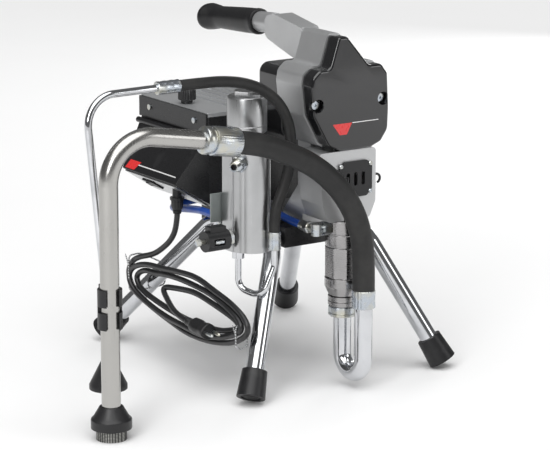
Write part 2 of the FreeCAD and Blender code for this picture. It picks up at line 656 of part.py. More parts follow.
def pump():
    y, top = S["pump_y"], S["nose_bottom"]
    zero = ("0", "pump_y", "0")
    neck = "pump_rod_radius + running_gap"
    node("pump_cylinder", turned("PumpCylinder", [
        ("pump_bore", "cylinder_bottom"), ("pump_radius - 6", "cylinder_bottom"), ("pump_radius", "cylinder_bottom + 12"),
        ("pump_radius", "nose_bottom - 70"), ("pump_radius - 1.5", "nose_bottom - 68"),
        ("pump_radius - 0.5", "nose_bottom - 66"), ("pump_radius - 0.5", "nose_bottom - 0.2"),
        ("pump_bore", "nose_bottom - 0.2"), ("pump_bore", "nose_bottom - 18.3"),
        (neck, "nose_bottom - 18.3"), (neck, "nose_bottom - 24"), ("pump_bore", "nose_bottom - 24")], zero))
    packings = []
    for k in range(3):
        low = "nose_bottom - 18.2 + %d * 4.4" % k
        packings.append(turned("Packing%d" % k, [
            (neck, low), ("pump_bore - 0.1", low), ("pump_bore - 0.1", low + " + 4.2"), (neck, low + " + 4.2")], zero))
    gland_nut = turned("PackingNut", [
        (neck, "nose_bottom - 4.8"), ("pump_bore - 0.1", "nose_bottom - 4.8"),
        ("pump_bore - 0.1", "nose_bottom + 7"), (neck, "nose_bottom + 7")], zero)
    node("throat_packings", group(gland_nut, *packings))
    blade = Part.makeBox(18, S["rod_blade"], 34, V(-9, y - S["rod_blade"] / 2, S["rod_eye_height"] - 34))
    eye = cylinder_y(9, y - S["rod_blade"] / 2, y + S["rod_blade"] / 2, S["rod_eye_height"])
    piston_z = S["cylinder_bottom"] + 14
    stem_top = S["rod_eye_height"] - S["pump_stroke"] - 12
    stem = Part.makeCylinder(S["pump_rod_radius"], stem_top - piston_z, V(0, y, piston_z))
    piston = Part.makeCylinder(S["pump_bore"] - 0.1, 12, V(0, y, piston_z))
    rod_shape = stem.fuse([blade.common(Part.makeCylinder(60, 400, V(0, y, 0))), eye, piston])
    rod_shape = rod_shape.cut(cylinder_y(S["yoke_pin_radius"] + 0.02, y - 20, y + 20, S["rod_eye_height"]))
    cage = Part.makeCylinder(S["outlet_ball_radius"] + 0.4, 14, V(0, y, piston_z + 3))
    throat = Part.makeCylinder(S["outlet_ball_radius"] - 2, 30, V(0, y, piston_z - 10))
    port = Part.makeCylinder(2.2, 40, V(-20, y, piston_z + 14.5), V(1, 0, 0))
    node("pump_rod", shaped(rod_shape.cut([cage, throat, port]), "pump_rod"))
    pin = cylinder_y(S["yoke_pin_radius"], y - S["rod_blade"] / 2, y + S["rod_blade"] / 2, S["rod_eye_height"])
    node("yoke_pin", shaped(pin, "yoke_pin"))
    rest = math.sqrt(S["outlet_ball_radius"] ** 2 - (S["outlet_ball_radius"] - 2) ** 2)
    outlet_z = piston_z + 3 + rest + 0.1
    node("outlet_ball", shaped(Part.makeSphere(S["outlet_ball_radius"], V(0, y, outlet_z)), "outlet_ball"))
    foot_top = S["cylinder_bottom"] - 0.2
    body = Part.makeCylinder(S["pump_radius"] - 4, foot_top - S["foot_valve_bottom"], V(0, y, S["foot_valve_bottom"]))
    spigot = Part.makeCylinder(S["pump_bore"] - 0.1, 5, V(0, y, foot_top - 1))
    groove = Part.makeCylinder(40, 1.2, V(0, y, S["foot_valve_bottom"])).cut(
        Part.makeCylinder(S["pump_radius"] - 6, 3, V(0, y, S["foot_valve_bottom"] - 1)))
    pocket = Part.makeCylinder(S["inlet_ball_radius"] + 0.4, 40, V(0, y, S["foot_valve_bottom"] + 3))
    bore = Part.makeCylinder(S["inlet_ball_radius"] - 2.5, 60, V(0, y, S["foot_valve_bottom"] - 20))
    node("foot_valve", shaped(body.fuse(spigot).cut([groove, pocket, bore]), "foot_valve"))
    rest = math.sqrt(S["inlet_ball_radius"] ** 2 - (S["inlet_ball_radius"] - 2.5) ** 2)
    inlet_z = S["foot_valve_bottom"] + 3 + rest + 0.1
    node("inlet_ball", shaped(Part.makeSphere(S["inlet_ball_radius"], V(0, y, inlet_z)), "inlet_ball"))
    node("swivel_nut", turned("SwivelNut", [
        ("suction_pipe_radius + 0.1", "swivel_nut_bottom"), ("swivel_nut_radius - 1.5", "swivel_nut_bottom"),
        ("swivel_nut_radius", "swivel_nut_bottom + 1.5"), ("swivel_nut_radius", "foot_valve_bottom - 1"),
        ("swivel_nut_radius - 0.8", "foot_valve_bottom - 0.2"), ("suction_pipe_radius + 0.1", "foot_valve_bottom - 0.2")],
        zero))
    outlet_z = "nose_bottom - 9"
    elbow = rod("5", "16", ("-pump_radius + 0.4", "pump_y", outlet_z), "-X")
    collar = hex_bar("8.5", "9", ("-pump_radius + 0.4", "pump_y", outlet_z), "-X")
    knuckle = rod("6.6", "14", ("-pump_radius - 17", "pump_y", outlet_z + " - 7"))
    arm = rod("5", "13", ("-pump_radius - 17", "pump_y", outlet_z), "+Y")
    node("pump_outlet_elbow", fused(elbow, collar, knuckle, arm))


# ---------------------------------------------------------------- suction side

def u_bend():
    """The chrome return bend from the pump's inlet to the suction hose."""
    y, offset = S["pump_y"], S["suction_bend_offset"]
    half = offset / 2
    low = 20 + half
    top_one, top_two = S["foot_valve_bottom"] - 0.4, 106
    points = [(0, y, top_one), (0, y, low - half), (0, y - offset, low - half), (0, y - offset, top_two)]
    return pipe(points, [half - 0.01], S["suction_pipe_radius"], 1.6)


def suction_set():
    node("suction_u_tube", shaped(u_bend(), "suction_u_tube"))
    low_y = S["pump_y"] - S["suction_bend_offset"]
    pipe_r, hose_r = S["suction_pipe_radius"], S["suction_hose_radius"]
    lower = Part.makeCylinder(hose_r + 0.8, 22, V(0, low_y, 105)).cut(
        Part.makeCylinder(pipe_r + 0.1, 16.3, V(0, low_y, 90)).fuse(Part.makeCylinder(hose_r - 3, 40, V(0, low_y, 100))))
    corner = V(S["suction_x"], S["suction_y"], S["suction_corner_height"])
    along = V(1, -0.02, -0.166).normalize()
    arm_end = corner + along * 130
    tube = pipe([(corner.x, corner.y, 32), tuple(corner), tuple(arm_end)], [S["suction_bend"]], pipe_r, S["suction_pipe_wall"])
    node("suction_tube", shaped(tube, "suction_tube"))
    collar = Part.makeCylinder(hose_r + 3.6, 16, arm_end - along * 6, along)
    crimp = Part.makeCylinder(hose_r + 2.6, 29, arm_end + along * 12, along)
    waist = Part.makeCylinder(hose_r + 1.4, 30, arm_end + along * 2, along)
    bore = Part.makeCylinder(pipe_r + 0.1, 6.3, arm_end - along * 6.2, along)
    duct = Part.makeCylinder(pipe_r - 2, 60, arm_end - along * 6, along)
    upper = collar.fuse([crimp, waist]).cut([bore, duct])
    hose_end = arm_end + along * 41.1
    points = [(0, low_y, 127.1), (0, low_y, 158), (-2, low_y + 1, 188), (-10, -203, 217), (-26, -202, 245),
              (-49, -201, 270), (-76, -200, 290), (-107, -199, 305), tuple(hose_end + along * 34), tuple(hose_end)]
    hose("suction_hose", points, hose_r)
    x, y = S["suction_x"], S["suction_y"]
    at = ("suction_x", "suction_y", "0")
    node("strainer_flange", turned("StrainerFlange", [
        ("mesh_radius + 0.1", "13"), ("flange_radius", "13"), ("flange_radius", "24"), ("flange_radius - 3", "27"),
        ("suction_pipe_radius + 2.5", "39"), ("suction_pipe_radius + 0.1", "39"), ("suction_pipe_radius + 0.1", "28"),
        ("mesh_radius + 0.1", "20")], at))
    basket = Part.makeCylinder(S["mesh_radius"], 20, V(x, y, 0)).cut(Part.makeCylinder(S["mesh_radius"] - 1.5, 18.5, V(x, y, 1.5)))
    node("strainer_basket", shaped(basket, "strainer_basket"))
    return [lower, upper]


CLIP_LOW, CLIP_HIGH = 130, 176


def drain_points():
    """The return pipe's corners from the arm's end down to the diffuser."""
    x, y = S["suction_x"], S["suction_y"]
    return [(-256, -156, 390), (x - 7, -156, 389), (x + 5, y + 20, CLIP_HIGH + 4), (x + 6, y + 20, CLIP_LOW - 6), (x + 14, y + 30, 88)]


def drain_set():
    radius, hose_r = S["drain_pipe_radius"], S["drain_hose_radius"]
    tube = pipe(drain_points(), [35, 60, 40], radius, S["drain_pipe_wall"])
    node("drain_tube", shaped(tube, "drain_tube"))
    end = V(*drain_points()[-1])
    cone = Part.makeCone(S["diffuser_radius"], 8, S["diffuser_height"] - 8, V(end.x, end.y, end.z - S["diffuser_height"] + 3))
    rim = Part.makeCylinder(S["diffuser_radius"], 5, V(end.x, end.y, end.z - S["diffuser_height"] - 2))
    neck = Part.makeCylinder(8, 14, V(end.x, end.y, end.z - 6))
    hollow = Part.makeCone(S["diffuser_radius"] - 2, 6, S["diffuser_height"] - 12, V(end.x, end.y, end.z - S["diffuser_height"] + 2.99))
    mouth = Part.makeCylinder(S["diffuser_radius"] - 2, 6, V(end.x, end.y, end.z - S["diffuser_height"] - 3))
    lead = V(*drain_points()[-2]) - end
    lead.normalize()
    seat = Part.makeCylinder(radius + 0.15, 60, end - lead * 2, lead)
    duct = Part.makeCylinder(radius - 1, 30, end - V(0, 0, 20))
    node("drain_diffuser", shaped(cone.fuse([rim, neck]).cut([hollow, mouth, seat, duct]), "drain_diffuser"))
    start = V(*drain_points()[0])
    upper = Part.makeCylinder(hose_r + 1.2, 30, start + V(-1, 0, 0), V(1, 0, 0)).cut(
        Part.makeCylinder(radius + 0.1, 1.3, start + V(-1.1, 0, 0), V(1, 0, 0)).fuse(
            Part.makeCylinder(radius - 1, 60, start, V(1, 0, 0))))
    lower_at = V(-88.5, -146, 176)
    lower = Part.makeCylinder(hose_r + 1.2, 22, lower_at).cut(
        Part.makeCylinder(4.0, 3, lower_at - V(0, 0, 0.1)).fuse(Part.makeCylinder(2.2, 60, lower_at)))
    points = [(start.x + 29.1, start.y, start.z), (-197, -156, 390), (-167, -155.5, 389), (-137, -155, 384),
              (-109, -153, 373), (-84, -150, 354), (-68, -147, 327), (-64, -145.5, 298), (-68, -145.5, 269),
              (-78, -146, 244), (-88.5, -146, 223), (-88.5, -146, 198.1)]
    hose("drain_hose", points, hose_r)
    valve_x, valve_y = S["manifold_x"] - 14, S["manifold_y"] - 2
    floor = S["manifold_bottom"]
    points = [(valve_x, valve_y, floor - 9), (valve_x, valve_y, 127), (-106, -146, 120), (lower_at.x, lower_at.y, 156),
              (lower_at.x, lower_at.y, lower_at.z + 2.8)]
    nut = Part.makeCylinder(7.4, 8, V(valve_x, valve_y, floor - 8.1)).cut(
        Part.makeCylinder(2.2, 20, V(valve_x, valve_y, floor - 14)))
    node("drain_return_tube", shaped(pipe(points, [15, 15, 16], 3.9, 1.0).fuse(nut), "drain_return_tube"))
    return [upper, lower]


def tube_clip():
    """Twin-claw clip that holds the return pipe against the suction tube."""
    x, y = S["suction_x"], S["suction_y"]
    mate = drain_points()[2]
    body = Part.makeCylinder(S["suction_pipe_radius"] + 3.2, CLIP_HIGH - CLIP_LOW, V(x, y, CLIP_LOW))
    small = Part.makeCylinder(S["drain_pipe_radius"] + 2.6, CLIP_HIGH - CLIP_LOW, V(mate[0], mate[1], CLIP_LOW))
    toward = V(mate[0] - x, mate[1] - y, 0).normalize()
    turn = math.degrees(math.atan2(toward.y, toward.x))
    bore = Part.makeCylinder(S["suction_pipe_radius"] + 0.1, 80, V(x, y, CLIP_LOW - 5))
    runs = [V(*p) for p in drain_points()[2:4]]
    lane = Part.makeCylinder(S["drain_pipe_radius"] + 0.3, 90, runs[0] + (runs[0] - runs[1]).normalize() * 20,
                             (runs[1] - runs[0]).normalize())
    mouth = Part.makeBox(20, 15, 80, V(x - 20, y - 7.5, CLIP_LOW - 5))
    mouth.rotate(V(x, y, 0), V(0, 0, 1), turn)
    back = Part.makeBox(20, 6, 80, V(mate[0], mate[1] - 3, CLIP_LOW - 5))
    back.rotate(V(mate[0], mate[1], 0), V(0, 0, 1), turn)
    gap = Part.makeBox(20, 60, 7, V(x - 20, y - 30, (CLIP_LOW + CLIP_HIGH) / 2 - 3.5))
    gap.rotate(V(x, y, 0), V(0, 0, 1), turn)
    node("tube_clip", shaped(body.fuse(small).cut([bore, lane, mouth, back, gap]), "tube_clip"))


# ---------------------------------------------------------------- filter manifold

def manifold():
    x, y, low = S["manifold_x"], S["manifold_y"], S["manifold_bottom"]
    height, radius = S["manifold_height"], S["manifold_radius"]
    drum = Part.makeCylinder(radius - 1, height - 8, V(x + 4, y - 5, low))
    core = Part.makeCylinder(radius - 1, height - 8, V(x, y, low))
    side = Part.makeBox(radius, 22, height - 8, V(x - radius, y - 3, low))
    throat = Part.makeCylinder(radius - 3, height, V(x, y, low))
    body = drum.fuse([core, side, throat]).removeSplitter()
    chamber = Part.makeCylinder(S["chamber_radius"], height - 20, V(x, y, low + 20.5))
    drain_port = Part.makeCylinder(2.5, 16, V(x - 14, y - 2, low - 1))
    valve_bore = Part.makeCylinder(5.1, 46.2, V(x - 60, y, S["valve_height"]), V(1, 0, 0))
    angle = math.radians(S["outlet_angle"])
    out = V(-math.sin(angle), -math.cos(angle), 0)
    outlet_bore = Part.makeCylinder(5.1, 60, V(x, y, S["outlet_height"]), out)
    outlet_bore = outlet_bore.cut(Part.makeCylinder(S["chamber_radius"] - 2, 40, V(x, y, S["outlet_height"] - 20)))
    inlet_bore = Part.makeCylinder(4.1, 40, V(x - 14, y + 10, S["nose_bottom"]), V(0, 1, 0))
    node("manifold_body", shaped(body.cut([chamber, drain_port, valve_bore, outlet_bore, inlet_bore]), "manifold_body"))
    seat = "manifold_bottom + manifold_height"
    node("filter_cap", turned("FilterCap", [
        ("0", seat + " + 0.2"), ("cap_radius - 0.6", seat + " + 0.2"), ("cap_radius", seat + " + 1"),
        ("cap_radius", seat + " + cap_height - 1.5"), ("cap_radius - 1.5", seat + " + cap_height"),
        ("cap_radius - 7", seat + " + cap_height"), ("cap_radius - 8", seat + " + cap_height + 6.5"),
        ("0", seat + " + cap_height + 6.5")], ("manifold_x", "manifold_y", "0")))
    sleeve = turned("FilterElement", [
        ("chamber_radius - 5", "manifold_bottom + 26"), ("chamber_radius - 2.5", "manifold_bottom + 26"),
        ("chamber_radius - 2.5", seat + " - 22"), ("chamber_radius - 5", seat + " - 22")],
        ("manifold_x", "manifold_y", "0"))
    coil = Part.makeCompound([Part.makeTorus(S["chamber_radius"] - 5, 1.1, V(x, y, low + height - 19 + 4.5 * k), V(0, 0, 1))
                              for k in range(4)])
    node("filter_element", group(sleeve, shaped(coil, "FilterSpring")))
    start = V(x, y, S["outlet_height"]) + out * (radius + 0.2)
    tip = S["nipple_length"]
    hexagon = Part.Face(Part.makePolygon([V(10 * math.cos(k * math.pi / 3), 10 * math.sin(k * math.pi / 3), 0) for k in range(7)]))
    nut = hexagon.extrude(V(0, 0, 7))
    cone = Part.makeCone(8.5, 6.6, 3.5, V(0, 0, 7))
    tail = Part.makeCylinder(6.0, tip - 7, V(0, 0, 7))
    shank = Part.makeCylinder(4.95, 6, V(0, 0, -6))
    nipple = nut.fuse([cone, tail, shank]).cut(Part.makeCylinder(3.6, 60, V(0, 0, -20)))
    nipple.Placement = FreeCAD.Placement(start, FreeCAD.Rotation(V(0, 0, 1), out))
    node("outlet_nipple", shaped(nipple.copy(), "outlet_nipple"))
    valve_x = "manifold_x - manifold_radius - 0.2"
    stem = fused(rod("4.95", "14", ("manifold_x - manifold_radius + 9", "manifold_y", "valve_height"), "-X"),
                 rod("3", "44", (valve_x, "manifold_y", "valve_height"), "-X"),
                 hex_bar("9.5", "6", (valve_x, "manifold_y", "valve_height"), "-X"),
                 hex_bar("4.6", "4", (valve_x + " - 44", "manifold_y", "valve_height"), "-X"))
    node("prime_valve", stem)
    handle_x = "manifold_x - manifold_radius - 6.7"
    drum = rod("12.5", "31", (handle_x, "manifold_y", "valve_height"), "-X")
    lever = block((handle_x + " - 26", handle_x + " - 4"), ("manifold_y - 6", "manifold_y + 6"),
                  ("valve_height", "valve_height + 17.5"))
    eye = rod("3 + running_gap", "60", (handle_x + " + 10", "manifold_y", "valve_height"), "-X")
    window = block((handle_x + " - 24", handle_x + " - 9"), ("manifold_y - 20", "manifold_y - 8"),
                   ("valve_height - 4", "valve_height + 4"))
    pin = rod("2.4", "12", (handle_x + " - 10.5", "manifold_y - 10.4", "valve_height"), "-X")
    node("prime_valve_handle", group(cut(fused(drum, lever), eye, window), pin))


def manifold_bracket():
    """Folded strip from the base channel's flange to the manifold's rear block."""
    y = "manifold_y + 22.1"
    low = BASE_TOP + " + 0.1"
    upright = block(("manifold_x - manifold_radius", "manifold_x + 18"), (y, y + " + 2.5"), (low, "240"))
    ear = block(("manifold_x - manifold_radius - 14", "manifold_x"), (y, y + " + 2.5"), ("205", "240"))
    shelf = block(("manifold_x - manifold_radius", "-%s + 17" % BASE_HALF), (y, y + " + 23"), (low, low + " + 2.5"))
    relief = rod("8", "30", ("manifold_x - 14", "manifold_y + 10", "nose_bottom"), "+Y")
    standoffs = [rod("6", "box_bottom - leg_top_height - base_rise - 0.2", (x, y, BASE_TOP + " + 0.1"))
                 for x in ("-30", "30") for y in ("-14", "54")]
    node("frame_brackets", group(cut(fused(upright, ear, shelf), relief), *standoffs))


def whip_hose():
    """The short high-pressure line from the pump to the filter, with a fitting at each end."""
    x, y = S["manifold_x"] - 14, S["manifold_y"] + 22.2
    ends = []
    for start, reach in ((V(x, y + 2.7, S["nose_bottom"]), 26), (V(-S["pump_radius"] - 17, S["pump_y"] + 13.1, S["nose_bottom"] - 9), 18)):
        outer = Part.makeCylinder(6.3, reach, start, V(0, 1, 0))
        band = Part.makeCylinder(7.4, 8, start + V(0, 0.1, 0), V(0, 1, 0))
        ends.append(outer.fuse(band).cut(Part.makeCylinder(2, 60, start - V(0, 5, 0), V(0, 1, 0))))
    z = S["nose_bottom"] - 9
    first_x, first_y = -S["pump_radius"] - 17, S["pump_y"] + 13.1 + 18.1
    points = [(first_x, first_y, z), (first_x, first_y + 22, z), (-41, -82, 202), (-44, -52, 202), (-46, -20, 199.5),
              (-47, 12, 199), (-47, 44, 198), (-60, 62, 195.5), (-80, 69, 192), (-100, 62, 191), (-112.5, 44, 193.5),
              (-113, 12, 199), (-115, -20, 204), (x, y + 50, 206), (x, y + 28.8, 206)]
    hose("whip_hose", points, S["whip_radius"])
    return ends


# ---------------------------------------------------------------- controller

def box_section(shrink):
    """The controller's section across X, drawn in by a wall thickness, as (x, z)."""
    return [(S["box_front_x"] + shrink, S["box_top"]), (S["box_front_x"] + shrink, S["panel_top"]),
            (S["panel_out_x"] + 1.5 * shrink, S["panel_low"] + 0.4 * shrink),
            (S["panel_foot_x"] + 0.2 * shrink, S["box_bottom"] + shrink),
            (S["box_back_x"] - shrink, S["box_bottom"] + shrink), (S["box_back_x"] - shrink, S["box_top"])]


def controller():
    near, far, wall = S["box_near_y"], S["box_far_y"], S["box_wall"]

    def section_solid(shrink, margin, lift):
        corners = [V(x, near + margin, z) for x, z in box_section(shrink)]
        corners[0].z += lift
        corners[-1].z += lift
        solid = Part.Face(Part.makePolygon(corners + corners[:1])).extrude(V(0, far - near - 2 * margin, 0))
        return solid

    def tapers(inward):
        """What is cut away beside the sloping panel, whose ends draw in towards its lower edge."""
        wedges = []
        hinge, tip = S["box_front_x"] + 1, S["panel_out_x"] - 20
        for y, sign in ((near, 1), (far, -1)):
            corners = [V(hinge, y - sign * 5, 330), V(tip, y - sign * 5, 330),
                       V(tip, y + sign * (24 + inward), 330), V(hinge, y + sign * inward, 330)]
            wedges.append(Part.Face(Part.makePolygon(corners + corners[:1])).extrude(V(0, 0, -200)))
        return wedges

    shell = section_solid(0, 0, 0).cut(tapers(0)).cut(section_solid(wall, wall, 5).cut(tapers(wall)))
    slope = V(S["panel_foot_x"] - S["panel_out_x"], 0, S["box_bottom"] - S["panel_low"])
    length = slope.Length
    slope.normalize()
    normal = V(slope.z, 0, -slope.x)
    if normal.z > 0:
        normal = normal * -1

    def on_plate(along, y, depth, size_u, size_y, thick):
        """A slab lying on the sloping bottom plate."""
        solid = Part.makeBox(size_u, size_y, thick)
        turn = FreeCAD.Rotation(slope, V(0, 1, 0), normal * -1, "XYZ")
        origin = V(S["panel_out_x"], y, S["panel_low"]) + slope * along + normal * (depth + thick)
        solid.Placement = FreeCAD.Placement(origin, turn)
        return solid

    opening = on_plate(9, near + 20, -8, length - 20, far - near - 46, 12)
    node("controller_box", shaped(shell.cut(opening), "controller_box"))
    plate = on_plate(3, near + 16, 0.1, length - 6, far - near - 36, 1.8)
    switch_y, switch_u = 62, length * 0.38
    switch_hole = on_plate(switch_u - 7, switch_y - 11, -4, 14, 22, 8)
    gland_hole = Part.makeCylinder(6.2, 80, V(S["gland_x"], S["gland_y"], 180))
    node("switch_plate", shaped(plate.cut([switch_hole, gland_hole]), "switch_plate"))
    bezel = on_plate(switch_u - 9, switch_y - 13, 2.0, 18, 26, 2.0).fuse(on_plate(switch_u - 6.8, switch_y - 10.8, -12, 13.6, 21.6, 14.1))
    rocker = on_plate(switch_u - 4.8, switch_y - 8.6, -1.5, 9.6, 17.2, 6.0)
    pivot = V(S["panel_out_x"], switch_y, S["panel_low"]) + slope * switch_u + normal * 1.5
    rocker.rotate(pivot, slope, -8)
    rocker = rocker.fuse(Part.makeCylinder(1.2, 13, pivot - slope * 6.5, slope))
    seats = Part.makeCylinder(1.2 + S["running_gap"], 13.2, pivot - slope * 6.6, slope)
    well = on_plate(switch_u - 5.2, switch_y - 9.2, -5, 10.4, 18.4, 12)
    node("power_switch", shaped(bezel.cut([well, seats]), "power_switch"))
    print("rocker pivot", [round(v, 2) for v in pivot], "axis", [round(v, 4) for v in slope])
    node("switch_rocker", shaped(rocker, "switch_rocker"))
    lid = "box_top + 0.1"
    rim = block(("box_front_x", "box_back_x"), ("box_near_y", "box_far_y"), (lid, lid + " + lid_thickness"))
    shaft_hole = rod("4.1", "60", ("knob_x", "knob_y", "300"))
    grooves = [block(("box_front_x + 46 + %d" % (14 * k), "box_front_x + 52 + %d" % (14 * k)),
                     ("box_near_y + 10", "box_far_y - 10"), (lid + " + lid_thickness - 2.5", lid + " + lid_thickness + 9"))
               for k in range(7)]
    node("heat_sink_lid", cut(rim, shaft_hole, *grooves))
    front = "box_front_x"
    bracket = block((front + " - 3.1", front + " - 0.1"), ("box_near_y", "box_far_y"), ("panel_top + 1", "box_top + 4"))
    holes = [rod("2.2", "20", (front + " - 10", y, "box_top - 7"), "+X") for y in ("box_near_y + 26", "box_far_y - 26")]
    bar = rod("3.6", "box_far_y - box_near_y - 8", (front + " - 7", "box_near_y + 4", "panel_top - 3.5"), "+Y")
    node("end_bracket", group(cut(bracket, *holes), bar))
    board = block(("-90", "20"), ("box_near_y + 22", "box_far_y - 22"), ("240", "242"))
    parts = [block(("-60", "-42"), ("%d" % y, "%d + 20" % y), ("241.9", "266")) for y in (0, 30, 60)]
    choke = rod("14", "18", ("-10", "40", "241.9"))
    posts = [rod("3", "31.6", (x, y, "box_bottom + box_wall")) for x in ("-80", "10") for y in ("-6", "94")]
    sensor = cut(rod("9", "12", ("knob_x", "knob_y", "box_top - 18")),
                 rod("3.9 + running_gap", "7", ("knob_x", "knob_y", "box_top - 12.5")))
    stalk = rod("2.5", "box_top - 18 - 241.5", ("knob_x + 5.5", "knob_y", "241.5"))
    node("control_board", fused(board, choke, sensor, stalk, *(parts + posts)))
    top = "box_top + lid_thickness"
    collar = rod("7.5", "4.4", ("knob_x", "knob_y", top + " + 0.3"))
    grip = turned("KnobGrip", [("0", top + " + 4.6"), ("knob_radius - 1", top + " + 4.6"), ("knob_radius", top + " + 6"),
                               ("knob_radius - 0.6", top + " + 3 + knob_height"),
                               ("knob_radius - 2", top + " + 4.6 + knob_height"), ("0", top + " + 4.6 + knob_height")],
                  ("knob_x", "knob_y", "0"))
    spindle = rod("3.9", "24", ("knob_x", "knob_y", "box_top - 12"))
    node("pressure_knob", fused(collar, grip, spindle))


# ---------------------------------------------------------------- handle

def handle():
    """Cast arm bolted behind the housing's neck, and the rubber grip on its core."""
    rear = S["housing_front_y"] + S["housing_depth"] + 0.2
    x = S["arm_x"]
    top = S["crank_height"] + S["neck_height"]
    gy, gz = S["grip_start_y"], S["grip_start_z"]
    head_y, half = gy - 28, S["arm_height"] / 2
    side = [(x, rear, top - 43), (x, rear, top), (x, head_y - 22, gz + half + 3), (x, head_y, gz + half - 1),
            (x, head_y, gz - half), (x, head_y - 30, gz - half - 9)]
    wire = round_corners(side, [3, 4, 14, 11, 11, 14], closed=True)
    arm = Part.Face(wire).extrude(V(S["arm_width"], 0, 0))
    trough = [(x, rear + 8, top - 60), (x, rear + 8, top - 18), (x, head_y - 24, gz + 4), (x, head_y - 12, gz - 2),
              (x, head_y - 12, gz - 40)]
    channel = Part.Face(round_corners(trough, [3, 5, 4, 3, 3], closed=True)).extrude(V(S["arm_width"] - 9, 0, 0))
    channel.translate(V(4.5, 0, 0))
    drop = math.radians(S["grip_drop"])
    along = V(0, math.cos(drop), -math.sin(drop))
    centre = V(x + S["arm_width"] / 2, gy - 1.2, gz)
    core = Part.makeCylinder(S["grip_core"], S["grip_length"] - 6, centre, along)
    collar = Part.makeCylinder(S["grip_radius"] - 2.7, 34, centre - along * 33, along)
    node("handle_arm", shaped(arm.cut(channel).fuse([core, collar]), "handle_arm"))
    start = centre + along * 1.5
    length, radius = S["grip_length"], S["grip_radius"]
    profile = [V(0, 0, 0), V(radius + 1, 0, 0), V(radius + 1, 0, 5), V(radius - 0.5, 0, 9), V(radius, 0, length * 0.5),
               V(radius - 0.5, 0, length - 26), V(radius + 3.5, 0, length - 8), V(radius + 3, 0, length - 2), V(0, 0, length)]
    grip = Part.Face(Part.makePolygon(profile + profile[:1])).revolve(V(0, 0, 0), V(0, 0, 1), 360)
    bore = Part.makeCylinder(S["grip_core"] + 0.1, length - 6, V(0, 0, -1))
    grip = grip.cut(bore)
    grip.Placement = FreeCAD.Placement(start, FreeCAD.Rotation(V(0, 0, 1), along))
    node("handle_grip", shaped(grip.copy(), "handle_grip"))


# ---------------------------------------------------------------- power cord

def power_cord():
    x, y = S["gland_x"], S["gland_y"]
    node("cord_gland", turned("CordGland", [
        ("0", "196"), ("7", "196"), ("7.6", "200"), ("7.6", "213"), ("9", "214"), ("9", "217"), ("5.8", "217.5"),
        ("5.8", "232"), ("0", "232")], ("gland_x", "gland_y", "0")))
    hank_x = S["hank_x"]
    points = [(x, y, 195.9), (x, y + 2, 178), (x - 1, y + 13, 160), (x - 3, y + 32, 145), (x - 5, y + 50, 134.5)]
    hose("power_cord", points, S["cord_radius"])
    outline = [(66, 134), (104, 124), (122, 98), (88, 66), (15, 50), (-68, 44), (-146, 64), (-183, 86), (-165, 110),
               (-127, 124), (-60, 144)]
    near_face = hank_x - S["hank_thickness"] / 2
    corners = [(near_face, a, b) for a, b in outline]
    hank = Part.Face(round_corners(corners, [9], closed=True)).extrude(V(S["hank_thickness"], 0, 0))
    node("cord_hank", shaped(hank, "cord_hank"))
    grip = [(-62, 71), (-100, 62), (-108, 66), (-112, 84), (-104, 96), (-66, 88)]
    body = Part.Face(round_corners([(near_face - 22, a, b) for a, b in grip], [5], closed=True)).extrude(V(22, 0, 0))
    plug = [body.makeFillet(3, [e for e in body.Edges if e.BoundBox.XMax < near_face - 21.9])]
    for x in (near_face - 16, near_face - 6):
        plug.append(Part.makeCylinder(2.2, 19, V(x, -107, 76), V(0, -1, 0)))
    node("cord_plug", shaped(plug[0].fuse(plug[1:]), "cord_plug"))
    node("cord_ties", shaped(Part.makeCompound([tie(hank, 98), band_round(hank, -148)]), "cord_ties"))


def band_round(hank, y):
    """A short band round the hank alone, at a given Y."""
    near, far = S["hank_x"] - S["hank_thickness"] / 2 - 0.2, S["hank_x"] + S["hank_thickness"] / 2 + 0.2
    section = hank.common(Part.makeBox(400, 3, 400, V(-300, y - 1.5, 0))).BoundBox
    low, high = section.ZMin - 0.2, section.ZMax + 0.2
    loop = [V(x, y - 1.3, z) for x, z in ((near, low), (near, high), (far, high), (far, low), (near, low))]
    face = Part.Face(Part.makePolygon(loop))
    return Part.Face(face.OuterWire.makeOffset2D(1.3)).cut(face).extrude(V(0, 2.6, 0)).cut(hank)


def tie(hank, y):
    """A twisted tie round the hank and the rear leg beside it, at a given Y."""
    top, foot = leg_points(-1)[2:]
    leg = top + (foot - top) * ((y - top.y) / (foot.y - top.y))
    lean = abs(foot.y - top.y) / (foot - top).Length
    near, half = S["hank_x"] - S["hank_thickness"] / 2 - 0.2, S["leg_radius"] / lean * 0.92 + 1.5
    section = hank.common(Part.makeBox(400, 3, 400, V(-300, y - 1.5, 0))).BoundBox
    low, high = section.ZMin - 0.2, section.ZMax + 0.2
    loop = [(near, low), (near, high), (near + S["hank_thickness"] + 1, high), (leg.x + 19, leg.z + half),
            (leg.x + 19, leg.z - half), (near + S["hank_thickness"] + 1, low)]
    face = Part.Face(Part.makePolygon([V(x, y - 1.3, z) for x, z in loop + loop[:1]]))
    band = Part.Face(face.OuterWire.makeOffset2D(1.3)).cut(face).extrude(V(0, 2.6, 0))
    shaft = Part.makeCylinder(S["leg_radius"] + 0.3, 400, foot, (top - foot).normalize())
    return band.cut([hank, shaft])


